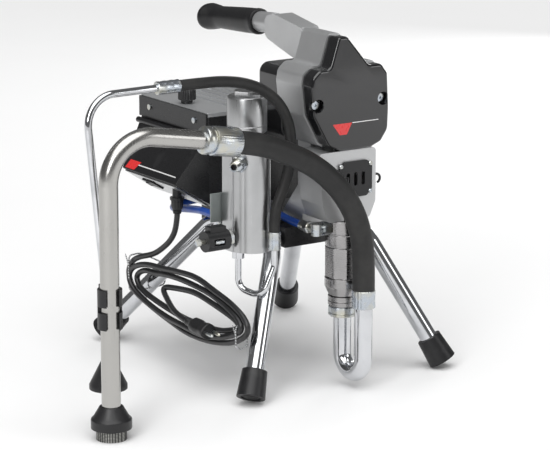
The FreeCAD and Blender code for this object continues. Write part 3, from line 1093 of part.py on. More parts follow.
def main():
    leg_frame("left_leg_frame", -1)
    leg_frame("right_leg_frame", 1)
    rubber_feet()
    base_channel()
    drive_housing()
    front_cover()
    node("fasteners", group(*(leg_bolts() + cover_screws() + bracket_screws())))
    rod_cover()
    motor(crank_and_gears())
    connecting_rod()
    motor_cowl()
    pump()
    ferrules = suction_set() + drain_set() + whip_hose()
    node("hose_ferrules", shaped(Part.makeCompound(ferrules), "hose_ferrules"))
    tube_clip()
    manifold()
    manifold_bracket()
    controller()
    handle()
    power_cord()
    doc.recompute()
    for obj in doc.Objects:
        if "Invalid" in obj.State or "Error" in obj.State:
            raise RuntimeError("%s failed to build" % obj.Label)
    for obj in NODES:
        if obj.Shape.isNull() or not obj.Shape.isValid():
            raise RuntimeError("%s has no valid shape" % obj.Label)
    for obj in NODES:
        obj.Shape.exportStep("parts/%s.step" % obj.Label)
    print(len(NODES), "sub-parts")


main()
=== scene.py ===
import json
import math

import bmesh
import bpy
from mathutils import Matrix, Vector


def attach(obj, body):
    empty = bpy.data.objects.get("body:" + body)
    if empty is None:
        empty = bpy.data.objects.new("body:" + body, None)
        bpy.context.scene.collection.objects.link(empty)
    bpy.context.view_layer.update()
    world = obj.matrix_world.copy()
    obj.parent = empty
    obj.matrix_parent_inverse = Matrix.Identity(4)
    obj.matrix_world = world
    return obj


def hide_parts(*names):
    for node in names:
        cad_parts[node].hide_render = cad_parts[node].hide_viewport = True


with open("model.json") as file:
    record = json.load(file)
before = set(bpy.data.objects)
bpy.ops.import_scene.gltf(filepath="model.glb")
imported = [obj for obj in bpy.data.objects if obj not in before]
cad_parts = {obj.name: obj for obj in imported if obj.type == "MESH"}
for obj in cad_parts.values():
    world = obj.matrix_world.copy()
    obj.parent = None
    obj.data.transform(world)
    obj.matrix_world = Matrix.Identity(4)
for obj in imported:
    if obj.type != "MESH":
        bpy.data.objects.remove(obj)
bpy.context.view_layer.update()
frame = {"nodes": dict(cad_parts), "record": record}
NODES = frame["nodes"]
MM = 0.001

# Places shared by several pieces, in millimetres.
UP = (0, 0, 1)
PUMP_X, PUMP_Y = 0, -162
MANIFOLD_X, MANIFOLD_Y = -105, -112
KNOB_X, KNOB_Y, KNOB_BASE = -94, 39, 325.3


def mm(*values):
    """A point given in millimetres."""
    return Vector(values) * MM


# ------------------------------------------------------------------ finishes

class Value:
    """A socket that can be written in sums: arithmetic on it adds Math nodes."""

    def __init__(self, finish, socket):
        self.finish = finish
        self.socket = socket

    def _with(self, operation, *others):
        return self.finish.add("ShaderNodeMath", {"operation": operation}, [self, *others])

    def __add__(self, other):
        return self._with("ADD", other)

    def __sub__(self, other):
        return self._with("SUBTRACT", other)

    def __rsub__(self, other):
        return self.finish.add("ShaderNodeMath", {"operation": "SUBTRACT"}, [other, self])

    def __mul__(self, other):
        return self._with("MULTIPLY", other)

    __radd__ = __add__
    __rmul__ = __mul__


class Finish:
    """One procedural material, built up from its surface's own details."""

    def __init__(self, name, colour, metal=0.0, rough=0.5, **fixed):
        self.material = bpy.data.materials.new(name)
        self.material.use_nodes = True
        self.tree = self.material.node_tree
        self.shader = self.tree.nodes["Principled BSDF"]
        self.material.diffuse_color = (*colour, 1)
        self.feed("Base Color", (*colour, 1))
        self.feed("Metallic", metal)
        self.feed("Roughness", rough)
        for socket, value in fixed.items():
            self.feed(socket.replace("_", " "), value)
        self.place = self.add("ShaderNodeTexCoord", {}, [], "Object")

    def add(self, kind, settings=None, sockets=(), output=0):
        node = self.tree.nodes.new(kind)
        for name, value in (settings or {}).items():
            if name == "stops":
                for element, (position, shade) in zip(node.color_ramp.elements, value):
                    element.position = position
                    element.color = (shade, shade, shade, 1)
            else:
                setattr(node, name, value)
        pairs = sockets.items() if isinstance(sockets, dict) else enumerate(sockets)
        for key, value in pairs:
            self._set(node.inputs[key], value)
        return Value(self, node.outputs[output])

    def _set(self, socket, value):
        if isinstance(value, Value):
            self.tree.links.new(value.socket, socket)
        else:
            socket.default_value = value

    def feed(self, name, value):
        self._set(self.shader.inputs[name], value)

    def stretched(self, x, y, z):
        """The surface's own coordinates, scaled along each axis."""
        return self.add("ShaderNodeVectorMath", {"operation": "MULTIPLY"}, [self.place, (x, y, z)])

    def noise(self, scale, detail=3.0, rough=0.55, where=None):
        return self.add("ShaderNodeTexNoise", {}, {
            "Vector": where or self.place, "Scale": scale, "Detail": detail, "Roughness": rough})

    def ramp(self, value, low, high):
        """0 up to the low value, 1 from the high one, and even between them."""
        return self.add("ShaderNodeValToRGB", {"stops": [(low, 0.0), (high, 1.0)]}, [value])

    def tint(self, factor, first, second):
        """A colour that runs between two as the factor goes from 0 to 1."""
        sockets = {0: factor, 6: (*first, 1), 7: (*second, 1)}
        return self.add("ShaderNodeMix", {"data_type": "RGBA"}, sockets, 2)

    def bump(self, height, strength=0.3, distance=0.0002):
        self.feed("Normal", self.add("ShaderNodeBump", {}, {
            "Strength": strength, "Distance": distance, "Height": height}))


def chrome():
    """Bright plated tube with faint handling marks."""
    finish = Finish("chrome_plate", (0.80, 0.81, 0.83), 1.0, 0.1)
    smudge = finish.ramp(finish.noise(26, 5), 0.42, 0.72)
    finish.feed("Roughness", 0.07 + smudge * 0.12)
    finish.feed("Base Color", finish.tint(smudge, (0.66, 0.67, 0.69), (0.52, 0.53, 0.55)))
    return finish.material


def satin_tube():
    """Drawn stainless tube with fine lengthwise polishing."""
    finish = Finish("satin_stainless", (0.74, 0.73, 0.70), 1.0, 0.24)
    fine = finish.noise(60, 4, 0.6, finish.stretched(12, 12, 1))
    patch = finish.noise(9, 3)
    finish.feed("Roughness", 0.18 + fine * 0.10 + patch * 0.06)
    finish.feed("Base Color", finish.tint(patch, (0.50, 0.49, 0.47), (0.40, 0.395, 0.38)))
    finish.bump(fine, 0.08, 0.00006)
    return finish.material


def zinc():
    """Zinc-plated steel, bluish with a trace of yellow."""
    finish = Finish("zinc_plate", (0.74, 0.77, 0.80), 1.0, 0.28)
    cloud = finish.noise(55, 4)
    grain = finish.noise(900, 2)
    yellow = finish.ramp(cloud, 0.4, 0.65)
    finish.feed("Base Color", finish.tint(yellow, (0.50, 0.54, 0.59), (0.58, 0.57, 0.50)))
    finish.feed("Roughness", 0.20 + cloud * 0.16)
    finish.bump(grain, 0.12, 0.00005)
    return finish.material


def machined_steel():
    """Plain steel of the gears, shafts and rods, with fine cutting lines."""
    finish = Finish("machined_steel", (0.56, 0.56, 0.57), 1.0, 0.32)
    lines = finish.noise(700, 2, 0.5, finish.stretched(0.05, 0.05, 1))
    finish.feed("Roughness", 0.26 + lines * 0.14)
    finish.bump(lines, 0.15, 0.00005)
    return finish.material


def brushed_cylinder():
    """Ground steel of the pump, with turning marks round it."""
    finish = Finish("ground_steel", (0.70, 0.70, 0.69), 1.0, 0.24)
    rings = finish.noise(900, 3, 0.5, finish.stretched(0.04, 0.04, 1))
    patch = finish.noise(24, 4)
    finish.feed("Roughness", 0.16 + rings * 0.12 + patch * 0.08)
    finish.feed("Base Color", finish.tint(patch, (0.42, 0.41, 0.41), (0.30, 0.295, 0.295)))
    finish.bump(rings, 0.12, 0.00005)
    return finish.material


def cast_paint():
    """Silver paint over a sand-cast skin, with small pits."""
    finish = Finish("cast_silver", (0.60, 0.61, 0.62), 0.75, 0.42)
    skin = finish.noise(420, 4, 0.65)
    broad = finish.noise(18, 3)
    pits = finish.ramp(finish.noise(170, 2), 0.60, 0.70)
    finish.feed("Base Color", finish.tint(broad, (0.58, 0.585, 0.59), (0.47, 0.475, 0.48)))
    finish.feed("Roughness", 0.34 + skin * 0.14 + pits * 0.08)
    finish.bump(skin - pits * 0.5, 0.35, 0.00016)
    return finish.material


def turned_aluminium():
    """Machined aluminium with fine lines down its length and a bright satin."""
    finish = Finish("turned_aluminium", (0.78, 0.79, 0.80), 1.0, 0.3)
    lines = finish.noise(800, 3, 0.6, finish.stretched(1, 1, 0.02))
    patch = finish.noise(30, 3)
    finish.feed("Roughness", 0.22 + lines * 0.16)
    finish.feed("Base Color", finish.tint(patch, (0.55, 0.555, 0.56), (0.42, 0.425, 0.43)))
    finish.bump(lines, 0.2, 0.00006)
    return finish.material


def lid_aluminium():
    """Pale heat-sink plate with a fine grained surface."""
    finish = Finish("lid_aluminium", (0.50, 0.51, 0.52), 0.8, 0.42)
    grain = finish.noise(650, 3)
    finish.feed("Base Color", finish.tint(finish.noise(22, 3), (0.70, 0.71, 0.72), (0.55, 0.56, 0.57)))
    finish.feed("Roughness", 0.34 + grain * 0.16)
    finish.bump(grain, 0.2, 0.0001)
    return finish.material


def gloss_black():
    """Painted cover with a wet gloss and a slight orange-peel."""
    finish = Finish("gloss_black_cover", (0.008, 0.008, 0.009), 0.0, 0.16,
                    Coat_Weight=0.6, Coat_Roughness=0.04)
    peel = finish.noise(150, 2, 0.4)
    dust = finish.ramp(finish.noise(60, 5), 0.55, 0.8)
    finish.feed("Roughness", 0.12 + dust * 0.14)
    finish.bump(peel, 0.05, 0.0002)
    return finish.material


def black_paint():
    """Powder coat on folded steel."""
    finish = Finish("black_powder_coat", (0.012, 0.012, 0.013), 0.0, 0.35, Specular_IOR_Level=0.45)
    grain = finish.noise(520, 3, 0.6)
    wear = finish.ramp(finish.noise(35, 5), 0.58, 0.8)
    finish.feed("Base Color", finish.tint(wear, (0.010, 0.010, 0.011), (0.028, 0.028, 0.029)))
    finish.feed("Roughness", 0.20 + grain * 0.2 + wear * 0.1)
    finish.bump(grain, 0.3, 0.00012)
    return finish.material


def grey_paint():
    """Grey-green paint of the manifold bracket."""
    finish = Finish("grey_bracket_paint", (0.27, 0.30, 0.29), 0.3, 0.45)
    grain = finish.noise(480, 3)
    finish.feed("Roughness", 0.38 + grain * 0.16)
    finish.feed("Base Color", finish.tint(finish.noise(28, 4), (0.30, 0.33, 0.32), (0.21, 0.23, 0.23)))
    finish.bump(grain, 0.2, 0.0001)
    return finish.material


def moulded_black():
    """Textured moulded plastic."""
    finish = Finish("moulded_black", (0.012, 0.012, 0.013), 0.0, 0.4, Specular_IOR_Level=0.42)
    grain = finish.noise(700, 3, 0.6)
    broad = finish.noise(40, 3)
    finish.feed("Base Color", finish.tint(broad, (0.009, 0.009, 0.010), (0.02, 0.02, 0.021)))
    finish.feed("Roughness", 0.28 + grain * 0.22)
    finish.bump(grain, 0.3, 0.0001)
    return finish.material


def hose_rubber():
    """Smooth black hose with patches of dust and a faint grain."""
    finish = Finish("hose_rubber", (0.02, 0.02, 0.02), 0.0, 0.5, Specular_IOR_Level=0.38)
    wrap = finish.noise(330, 3, 0.6)
    dust = finish.ramp(finish.noise(30, 5, 0.6), 0.45, 0.8)
    finish.feed("Base Color", finish.tint(dust, (0.013, 0.013, 0.013), (0.032, 0.031, 0.030)))
    finish.feed("Roughness", 0.42 + wrap * 0.14 + dust * 0.1)
    finish.bump(wrap, 0.22, 0.00012)
    return finish.material


def boot_rubber():
    """Dull rubber of the feet, the grip and the packings."""
    finish = Finish("boot_rubber", (0.015, 0.015, 0.016), 0.0, 0.45, Specular_IOR_Level=0.4)
    grain = finish.noise(600, 4, 0.65)
    scuff = finish.ramp(finish.noise(48, 5), 0.55, 0.85)
    finish.feed("Base Color", finish.tint(scuff, (0.010, 0.010, 0.011), (0.034, 0.034, 0.033)))
    finish.feed("Roughness", 0.30 + grain * 0.2)
    finish.bump(grain, 0.35, 0.00014)
    return finish.material


def blue_hose():
    """Blue plastic skin with the braid showing faintly through."""
    finish = Finish("blue_hose_skin", (0.02, 0.09, 0.40), 0.0, 0.3, Coat_Weight=0.25, Coat_Roughness=0.15)
    braid = finish.add("ShaderNodeTexWave", {"wave_type": "BANDS", "bands_direction": "DIAGONAL"}, {
        "Vector": finish.place, "Scale": 260.0, "Distortion": 1.5})
    cloud = finish.noise(70, 3)
    finish.feed("Base Color", finish.tint(cloud, (0.018, 0.085, 0.42), (0.012, 0.05, 0.27)))
    finish.feed("Roughness", 0.25 + cloud * 0.15)
    finish.bump(braid, 0.25, 0.0001)
    return finish.material


def filter_mesh():
    """Woven wire of the strainer and the filter."""
    finish = Finish("woven_wire", (0.42, 0.42, 0.40), 0.9, 0.4)
    along = finish.add("ShaderNodeTexWave", {"wave_type": "BANDS", "bands_direction": "Z"}, {
        "Vector": finish.place, "Scale": 190.0})
    round_it = finish.add("ShaderNodeTexWave", {"wave_type": "BANDS", "bands_direction": "DIAGONAL"}, {
        "Vector": finish.stretched(1, -1, 0), "Scale": 150.0})
    weave = along * round_it
    finish.feed("Base Color", finish.tint(weave, (0.05, 0.05, 0.05), (0.62, 0.62, 0.58)))
    finish.feed("Roughness", 0.5 - weave * 0.15)
    finish.bump(weave, 0.8, 0.0004)
    return finish.material


def cord_sheath():
    """Smooth black sheath of the mains lead."""
    finish = Finish("cord_sheath", (0.012, 0.012, 0.013), 0.0, 0.34)
    ripple = finish.noise(240, 3)
    finish.feed("Roughness", 0.26 + ripple * 0.18)
    finish.feed("Base Color", finish.tint(finish.noise(60, 3), (0.010, 0.010, 0.011), (0.024, 0.024, 0.025)))
    finish.bump(ripple, 0.12, 0.0001)
    return finish.material


def printed(name, colour):
    """A printed mark on a cover."""
    finish = Finish(name, colour, 0.0, 0.3, Coat_Weight=0.4, Coat_Roughness=0.08)
    ink = finish.noise(300, 3)
    worn = tuple(channel * 0.85 for channel in colour)
    finish.feed("Base Color", finish.tint(ink, colour, worn))
    finish.feed("Roughness", 0.22 + ink * 0.12)
    return finish.material


def tie_wire():
    """Wire tie with dark and light twists."""
    finish = Finish("tie_wire", (0.45, 0.46, 0.47), 0.3, 0.4)
    twist = finish.add("ShaderNodeTexWave", {"wave_type": "BANDS", "bands_direction": "DIAGONAL"}, {
        "Vector": finish.place, "Scale": 180.0})
    finish.feed("Base Color", finish.tint(twist, (0.62, 0.63, 0.64), (0.12, 0.12, 0.12)))
    finish.bump(twist, 0.6, 0.0004)
    return finish.material


def floor_paper():
    """Pale matt paper."""
    finish = Finish("studio_paper", (0.9, 0.9, 0.9), 0.0, 0.9)
    finish.feed("Base Color", finish.tint(finish.noise(3, 3), (0.90, 0.90, 0.90), (0.88, 0.88, 0.88)))
    return finish.material


LOOK = {
    "chrome": chrome(), "satin": satin_tube(), "zinc": zinc(), "steel": machined_steel(),
    "ground": brushed_cylinder(), "cast": cast_paint(), "turned": turned_aluminium(), "lid": lid_aluminium(),
    "gloss": gloss_black(), "paint": black_paint(), "grey": grey_paint(), "moulded": moulded_black(),
    "hose": hose_rubber(), "boot": boot_rubber(), "blue": blue_hose(), "mesh": filter_mesh(),
    "cord": cord_sheath(), "tie": tie_wire(),
    "red": printed("red_print", (0.72, 0.03, 0.03)), "white": printed("white_print", (0.78, 0.78, 0.78)),
}

# CAD pieces shown as they are: finish.
PLAIN = {
    "left_leg_frame": "chrome", "right_leg_frame": "chrome", "suction_u_tube": "chrome",
    "suction_tube": "satin", "drain_tube": "chrome", "drain_return_tube": "chrome",
    "fasteners": "zinc", "pump_outlet_elbow": "zinc", "connecting_rod": "steel", "crank_gear": "steel",
    "idler_gear": "steel", "bearings": "steel", "motor_rotor": "steel", "motor_stator": "steel",
    "pump_rod": "steel", "yoke_pin": "steel", "inlet_ball": "steel", "outlet_ball": "steel",
    "filter_element": "mesh", "strainer_basket": "mesh", "motor_end_plates": "cast",
    "cooling_fan": "moulded", "control_board": "moulded", "throat_packings": "boot",
    "prime_valve": "zinc",
}

# CAD pieces whose edges are eased: finish, edge radius in millimetres.
EASED = {
    "drive_housing": ("cast", 1.6), "handle_arm": ("cast", 1.4), "front_cover": ("gloss", 0.9),
    "motor_cowl": ("gloss", 0.6), "controller_box": ("paint", 1.0), "heat_sink_lid": ("lid", 0.5),
    "end_bracket": ("paint", 0.6), "switch_plate": ("turned", 0.3), "base_channel": ("paint", 1.0),
    "frame_brackets": ("grey", 0.5), "rod_cover": ("moulded", 0.5), "manifold_body": ("turned", 0.8),
    "tube_clip": ("moulded", 0.6), "strainer_flange": ("moulded", 0.8), "drain_diffuser": ("moulded", 0.6),
    "prime_valve_handle": ("moulded", 0.8), "power_switch": ("moulded", 0.4),
    "switch_rocker": ("moulded", 0.5), "rubber_feet": ("boot", 0.9),
}


# ------------------------------------------------------------------ making pieces

def piece(name, mesh, look, node=None, body="sprayer_frame", smooth=38):
    """A finished piece that rides on a body, in place of a CAD node if one is named."""
    made = bpy.data.objects.new(name, mesh)
    bpy.context.scene.collection.objects.link(made)
    if look:
        mesh.materials.clear()
        mesh.materials.append(LOOK[look])
    smoothed(mesh, smooth)
    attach(made, body)
    if node:
        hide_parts(node)
    return made


def smoothed(mesh, sharpest):
    """Smooth shading, with edges over an angle in degrees left sharp."""
    mesh.polygons.foreach_set("use_smooth", [True] * len(mesh.polygons))
    mesh.set_sharp_from_angle(angle=math.radians(sharpest))


def body_of(node):
    """The moving body that a CAD node belongs to."""
    bodies = frame["record"]["behaviour"]["bodies"]
    return next(body for body, members in bodies.items() if node in members)


def mesh_from(name, build):
    """A new mesh from a function that fills an empty one."""
    mesh = bpy.data.meshes.new(name)
    work = bmesh.new()
    build(work)
    bmesh.ops.recalc_face_normals(work, faces=work.faces)
    work.to_mesh(mesh)
    work.free()
    return mesh


def eased(node, look, radius):
    """The CAD piece with its sharp edges rounded."""
    mesh = NODES[node].data.copy()
    work = bmesh.new()
    work.from_mesh(mesh)
    bmesh.ops.remove_doubles(work, verts=work.verts, dist=1e-6)
    bmesh.ops.dissolve_limit(work, angle_limit=math.radians(0.5), verts=work.verts, edges=work.edges)
    work.to_mesh(mesh)
    work.free()
    made = piece("finished_" + node, mesh, look, node, body_of(node))
    bevel = made.modifiers.new("edges", "BEVEL")
    bevel.width = radius * MM
    bevel.segments = 3
    bevel.limit_method = "ANGLE"
    bevel.angle_limit = math.radians(40)
    bevel.use_clamp_overlap = True
    bevel.harden_normals = True


def turned_mesh(name, profile, start, along, segments=64, wobble=None):
    """A lathe-turned mesh: (radius, distance) pairs in millimetres, from a start along a direction.

    wobble(angle, radius, distance) is added to the radius, for flutes, flats and swellings.
    """
    turn = Vector((0, 0, 1)).rotation_difference(Vector(along).normalized()).to_matrix()

    def build(work):
        rings = []
        for radius, height in profile:
            ring = []
            for k in range(segments):
                angle = 2 * math.pi * k / segments
                reach = radius + (wobble(angle, radius, height) if wobble else 0)
                spot = Vector((reach * math.cos(angle), reach * math.sin(angle), height))
                ring.append(work.verts.new((turn @ spot + Vector(start)) * MM))
            rings.append(ring)
        for lower, upper in zip(rings, rings[1:]):
            for k in range(segments):
                after = (k + 1) % segments
                work.faces.new((lower[k], lower[after], upper[after], upper[k]))
        work.faces.new(rings[0][::-1])
        work.faces.new(rings[-1])

    return mesh_from(name, build)


def joined(name, meshes, looks):
    """Several meshes as one, each with its own finish."""
    whole = bmesh.new()
    for index, mesh in enumerate(meshes):
        start = len(whole.faces)
        whole.from_mesh(mesh)
        whole.faces.ensure_lookup_table()
        for face in whole.faces[start:]:
            face.material_index = index
    made = bpy.data.meshes.new(name)
    whole.to_mesh(made)
    whole.free()
    for look in looks:
        made.materials.append(LOOK[look])
    return made


def wire(name, points, radius, roundness):
    """A round NURBS line that the given points control, in millimetres, with its one spline."""
    curve = bpy.data.curves.new(name, "CURVE")
    curve.dimensions = "3D"
    spline = curve.splines.new("NURBS")
    spline.points.add(len(points) - 1)
    for control, point in zip(spline.points, points):
        control.co = (*(Vector(point) * MM), 1)
    spline.order_u = 3
    spline.resolution_u = 10
    curve.bevel_depth = radius * MM
    curve.bevel_resolution = roundness
    made = bpy.data.objects.new(name, curve)
    bpy.context.scene.collection.objects.link(made)
    return made, spline


def line(name, points, radius, look):
    """A hose or lead with closed ends, on the frame."""
    made, spline = wire(name, points, radius, 6)
    spline.use_endpoint_u = True
    made.data.use_fill_caps = True
    made.data.materials.append(LOOK[look])
    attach(made, "sprayer_frame")
    return made


def ring_line(name, points, radius):
    """The mesh of a closed smooth loop of round wire."""
    made, spline = wire(name, points, radius, 3)
    spline.use_cyclic_u = True
    bpy.context.view_layer.update()
    mesh = bpy.data.meshes.new_from_object(made.evaluated_get(bpy.context.evaluated_depsgraph_get()))
    bpy.data.objects.remove(made)
    return mesh


def length_of(points):
    """The length of the smooth line that a route's points control, in metres."""
    steps = 8
    total, last = 0.0, Vector(points[0])
    spots = [Vector(p) for p in points]
    middles = [spots[0]] + [(a + b) / 2 for a, b in zip(spots[1:-2], spots[2:-1])] + [spots[-1]]
    for k, corner in enumerate(spots[1:-1]):
        for step in range(1, steps + 1):
            t = step / steps
            spot = middles[k] * (1 - t) ** 2 + corner * 2 * t * (1 - t) + middles[k + 1] * t ** 2
            total += (spot - last).length
            last = spot
    return total * MM


# ------------------------------------------------------------------ camera and light

FRAME_WIDTH = 550
FOCAL_WIDTHS = 2600 / FRAME_WIDTH
SENSOR_WIDTH = 36
FLOOR_REACH = 16
WORLD_LIGHT = 0.15


def camera():
    """A long lens from the front left, a little above the part."""
    azimuth, elevation, distance = math.radians(-33.82), math.radians(12.52), 3250
    target = mm(0, 0, 220)
    flat = distance * math.cos(elevation)
    offset = mm(flat * math.sin(azimuth), -flat * math.cos(azimuth), distance * math.sin(elevation))
    data = bpy.data.cameras.new("studio_camera")
    data.lens = FOCAL_WIDTHS * SENSOR_WIDTH
    data.shift_x = 7.03 / FRAME_WIDTH
    data.shift_y = -42.42 / FRAME_WIDTH
    made = bpy.data.objects.new("studio_camera", data)
    made.location = target + offset
    made.rotation_euler = (-offset).to_track_quat("-Z", "Y").to_euler()
    data.clip_end = 30
    bpy.context.scene.collection.objects.link(made)
    bpy.context.scene.camera = made


def lamp(name, spot, size, watts):
    """A white softbox at a spot in millimetres, turned towards the middle of the part."""
    target = mm(0, 0, 200)
    data = bpy.data.lights.new(name, "AREA")
    data.shape = "RECTANGLE"
    data.size, data.size_y = size
    data.energy = watts
    made = bpy.data.objects.new(name, data)
    made.location = mm(*spot)
    made.rotation_euler = (target - mm(*spot)).to_track_quat("-Z", "Y").to_euler()
    bpy.context.scene.collection.objects.link(made)


def sun(strength, spread, direction):
    """Even light from above, with soft shadows."""
    data = bpy.data.lights.new("overhead_light", "SUN")
    data.energy = strength
    data.angle = math.radians(spread)
    made = bpy.data.objects.new("overhead_light", data)
    made.rotation_euler = Vector(direction).to_track_quat("-Z", "Y").to_euler()
    bpy.context.scene.collection.objects.link(made)


def studio():
    """A round pale floor, a dim white world and four soft lights."""
    corners = 72

    def build(work):
        turns = [2 * math.pi * k / corners for k in range(corners)]
        rim = [(FLOOR_REACH * math.cos(turn), FLOOR_REACH * math.sin(turn), 0) for turn in turns]
        work.faces.new([work.verts.new(spot) for spot in rim])

    mesh = mesh_from("floor", build)
    mesh.materials.append(floor_paper())
    floor = bpy.data.objects.new("floor", mesh)
    bpy.context.scene.collection.objects.link(floor)
    world = bpy.data.worlds.new("studio_world")
    world.use_nodes = True
    background = world.node_tree.nodes["Background"]
    background.inputs["Color"].default_value = (1, 1, 1, 1)
    background.inputs["Strength"].default_value = WORLD_LIGHT
    bpy.context.scene.world = world
    bpy.context.scene.view_settings.view_transform = "Standard"
    sun(2.7, 70, (0.25, 0.3, -1))
    lamp("key_softbox", (-2300, -1500, 1500), (0.9, 1.3), 26)
    lamp("fill_softbox", (1500, -2300, 1000), (0.9, 1.2), 9)
    lamp("rear_strip", (1900, 1300, 900), (0.4, 1.6), 10)


# ------------------------------------------------------------------ hoses and the mains lead

# Routes are the points that control each line, in millimetres, from the end where it leaves the part.
SUCTION_ARM = Vector((1, -0.02, -0.166)).normalized()
ARM_END = Vector((-343, -193, 353)) + SUCTION_ARM * 130
SUCTION_ROUTE = [
    (0, -205, 127.1), (0, -205, 158), (-2, -204, 188), (-10, -203, 217), (-26, -202, 245), (-49, -201, 270),
    (-76, -200, 290), (-107, -199, 305), tuple(ARM_END + SUCTION_ARM * 75.1),
    tuple(ARM_END + SUCTION_ARM * 41.1),
]
DRAIN_ROUTE = [
    (-226.9, -156, 390), (-197, -156, 390), (-167, -155.5, 389), (-137, -155, 384), (-109, -153, 373),
    (-84, -150, 354), (-68, -147, 327), (-64, -145.5, 298), (-68, -145.5, 269), (-78, -146, 244),
    (-88.5, -146, 223), (-88.5, -146, 198.1),
]
WHIP_ROUTE = [
    (-39, -130.8, 197), (-39, -108.8, 197), (-41, -82, 202), (-44, -52, 202), (-46, -20, 199.5),
    (-47, 12, 199), (-47, 44, 198), (-60, 62, 195.5), (-80, 69, 192), (-100, 62, 191), (-112.5, 44, 193.5),
    (-113, 12, 199), (-115, -20, 204), (-119, -39.8, 206), (-119, -61, 206),
]
LEAD_ROUTE = [(-130, 6, 195.9), (-130, 8, 178), (-131, 19, 160), (-133, 38, 145), (-135, 56, 134.5)]
LEAD_TAIL = [(-145, 20, 103), (-153, -8, 92), (-158, -34, 82), (-158, -58, 79)]
# One turn of the tied lead, as (y, z) points, and the point that the turns close in on.
TURN_SHAPE = [
    (82, 127), (104, 116), (113, 100), (100, 81), (66, 68), (16, 56), (-28, 51), (-75, 50), (-118, 57),
    (-150, 70), (-173, 87), (-163, 104), (-130, 117), (-95, 128), (-58, 137), (-14, 136), (28, 133),
    (58, 130),
]
TURNS = 3
HANK_LANE, HANK_Y, HANK_Z = -140.5, -28, 91


def hank_points():
    """The lead's turns, each inside the last, fanned out as a loosely tied bundle lies."""
    points = []
    per_turn = len(TURN_SHAPE)
    for k in range(TURNS * per_turn - 2):
        wound = k / per_turn
        y, z = TURN_SHAPE[k % per_turn]
        shrink_y = 1 - 0.062 * wound
        shrink_z = 1 - 0.21 * wound + 0.03 * math.sin(2.3 * k)
        lane = HANK_LANE + 3.2 * math.sin(1.1 * wound * math.pi + 0.4) + 0.8 * math.sin(1.7 * k)
        points.append((lane, HANK_Y + (y - HANK_Y) * shrink_y, HANK_Z + (z - HANK_Z) * shrink_z))
    return points


def hoses():
    """The suction, return and high-pressure hoses."""
    kinds = [
        ("suction_hose", SUCTION_ROUTE, 13.7, "hose"),
        ("drain_hose", DRAIN_ROUTE, 6.6, "hose"),
        ("whip_hose", WHIP_ROUTE, 4.75, "blue"),
    ]
    for name, route, radius, look in kinds:
        made = line("smooth_" + name, route, radius, look)
        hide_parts(name)
        length_of(route)
        2 * radius * MM


def mains_lead():
    """The lead, its tied turns, plug and ties."""
    radius = 3.6
    route = LEAD_ROUTE + hank_points() + LEAD_TAIL
    lead = line("mains_lead", route, radius, "cord")
    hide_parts("power_cord", "cord_hank")
    plug = mains_plug()
    wraps = ties()
    length_of(route)


def mains_plug():
    """Moulded plug with a tapered sleeve and two round pins."""
    centre = Vector((-158, -62, 79))
    along = Vector((0, -1, -0.05))
    sleeve_profile = [(3.8, -3), (5.2, 0), (5.2, 3), (4.5, 4.2), (5.6, 5.2), (5.6, 8), (4.8, 9), (6.3, 10),
                      (7.5, 14)]
    body_profile = [(7.5, 13), (10.2, 17), (10.6, 27), (9.6, 33), (9.4, 37), (10.8, 42), (10.8, 46),
                    (9.8, 47)]
    pin_profile = [(2.0, 46), (2.2, 47), (2.2, 60), (1.7, 62.5), (0.8, 63.4)]

    def flats(angle, radius, height):
        return radius * (0.05 * math.cos(2 * angle) - 0.088 * math.sin(2 * angle) ** 2)

    sleeve = turned_mesh("sleeve", sleeve_profile, centre, along, 32)
    body = turned_mesh("plug_body", body_profile, centre, along, 40, flats)
    pins = [turned_mesh("pin", pin_profile, centre + Vector((side, 0, 0)), along, 24) for side in (-5, 5)]
    mesh = joined("plug_mesh", [sleeve, body] + pins, ["cord", "moulded", "zinc", "zinc"])
    return piece("mains_plug", mesh, None, "cord_plug")


def ties():
    """Twisted ties: one holds the turns to the rear leg, one gathers their front end."""
    rear_y, front_y = 98, -150
    rear = [(-145.5, 80), (-145.5, 126), (-128, 127), (-92, 108), (-92, 80), (-128, 79)]
    front = [(-146.5, 66), (-146.5, 90), (-138, 94), (-130, 90), (-130, 66), (-138, 62)]
    meshes = []
    for y, corners, top in ((rear_y, rear, 126), (front_y, front, 90)):
        loop = [Vector((x, y, z)) for x, z in corners]
        points = [a.lerp(b, t) for a, b in zip(loop, loop[1:] + loop[:1]) for t in (0.12, 0.5, 0.88)]
        meshes.append(ring_line("tie", points, 0.95))
        meshes.append(turned_mesh("twisted_end", [(0.9, 0), (1.0, 4), (0.8, 14), (0.4, 17)],
                                  (-145, y, top - 14), (0.0, 0.55, 0.9), 12))
    mesh = joined("ties_mesh", meshes, ["tie"] * len(meshes))
    return piece("lead_ties", mesh, None, "cord_ties")


# ------------------------------------------------------------------ fittings

def crimped(length, radius, grooves, depth):
    """The profile of a swaged ferrule, with rounded grooves along it."""
    profile = [(radius - 0.8, 0), (radius, 0.8)]
    step = (length - 1.6) / grooves
    for k in range(grooves):
        base = 0.8 + step * k
        profile += [(radius, base + 0.15 * step), (radius - depth, base + 0.5 * step),
                    (radius, base + 0.85 * step)]
    return profile + [(radius, length - 0.8), (radius - 0.8, length)]


def flute(count, depth):
    """A wobble that cuts evenly spaced rounded flutes."""
    return lambda angle, radius, height: depth * (math.cos(count * angle) - 1) / 2


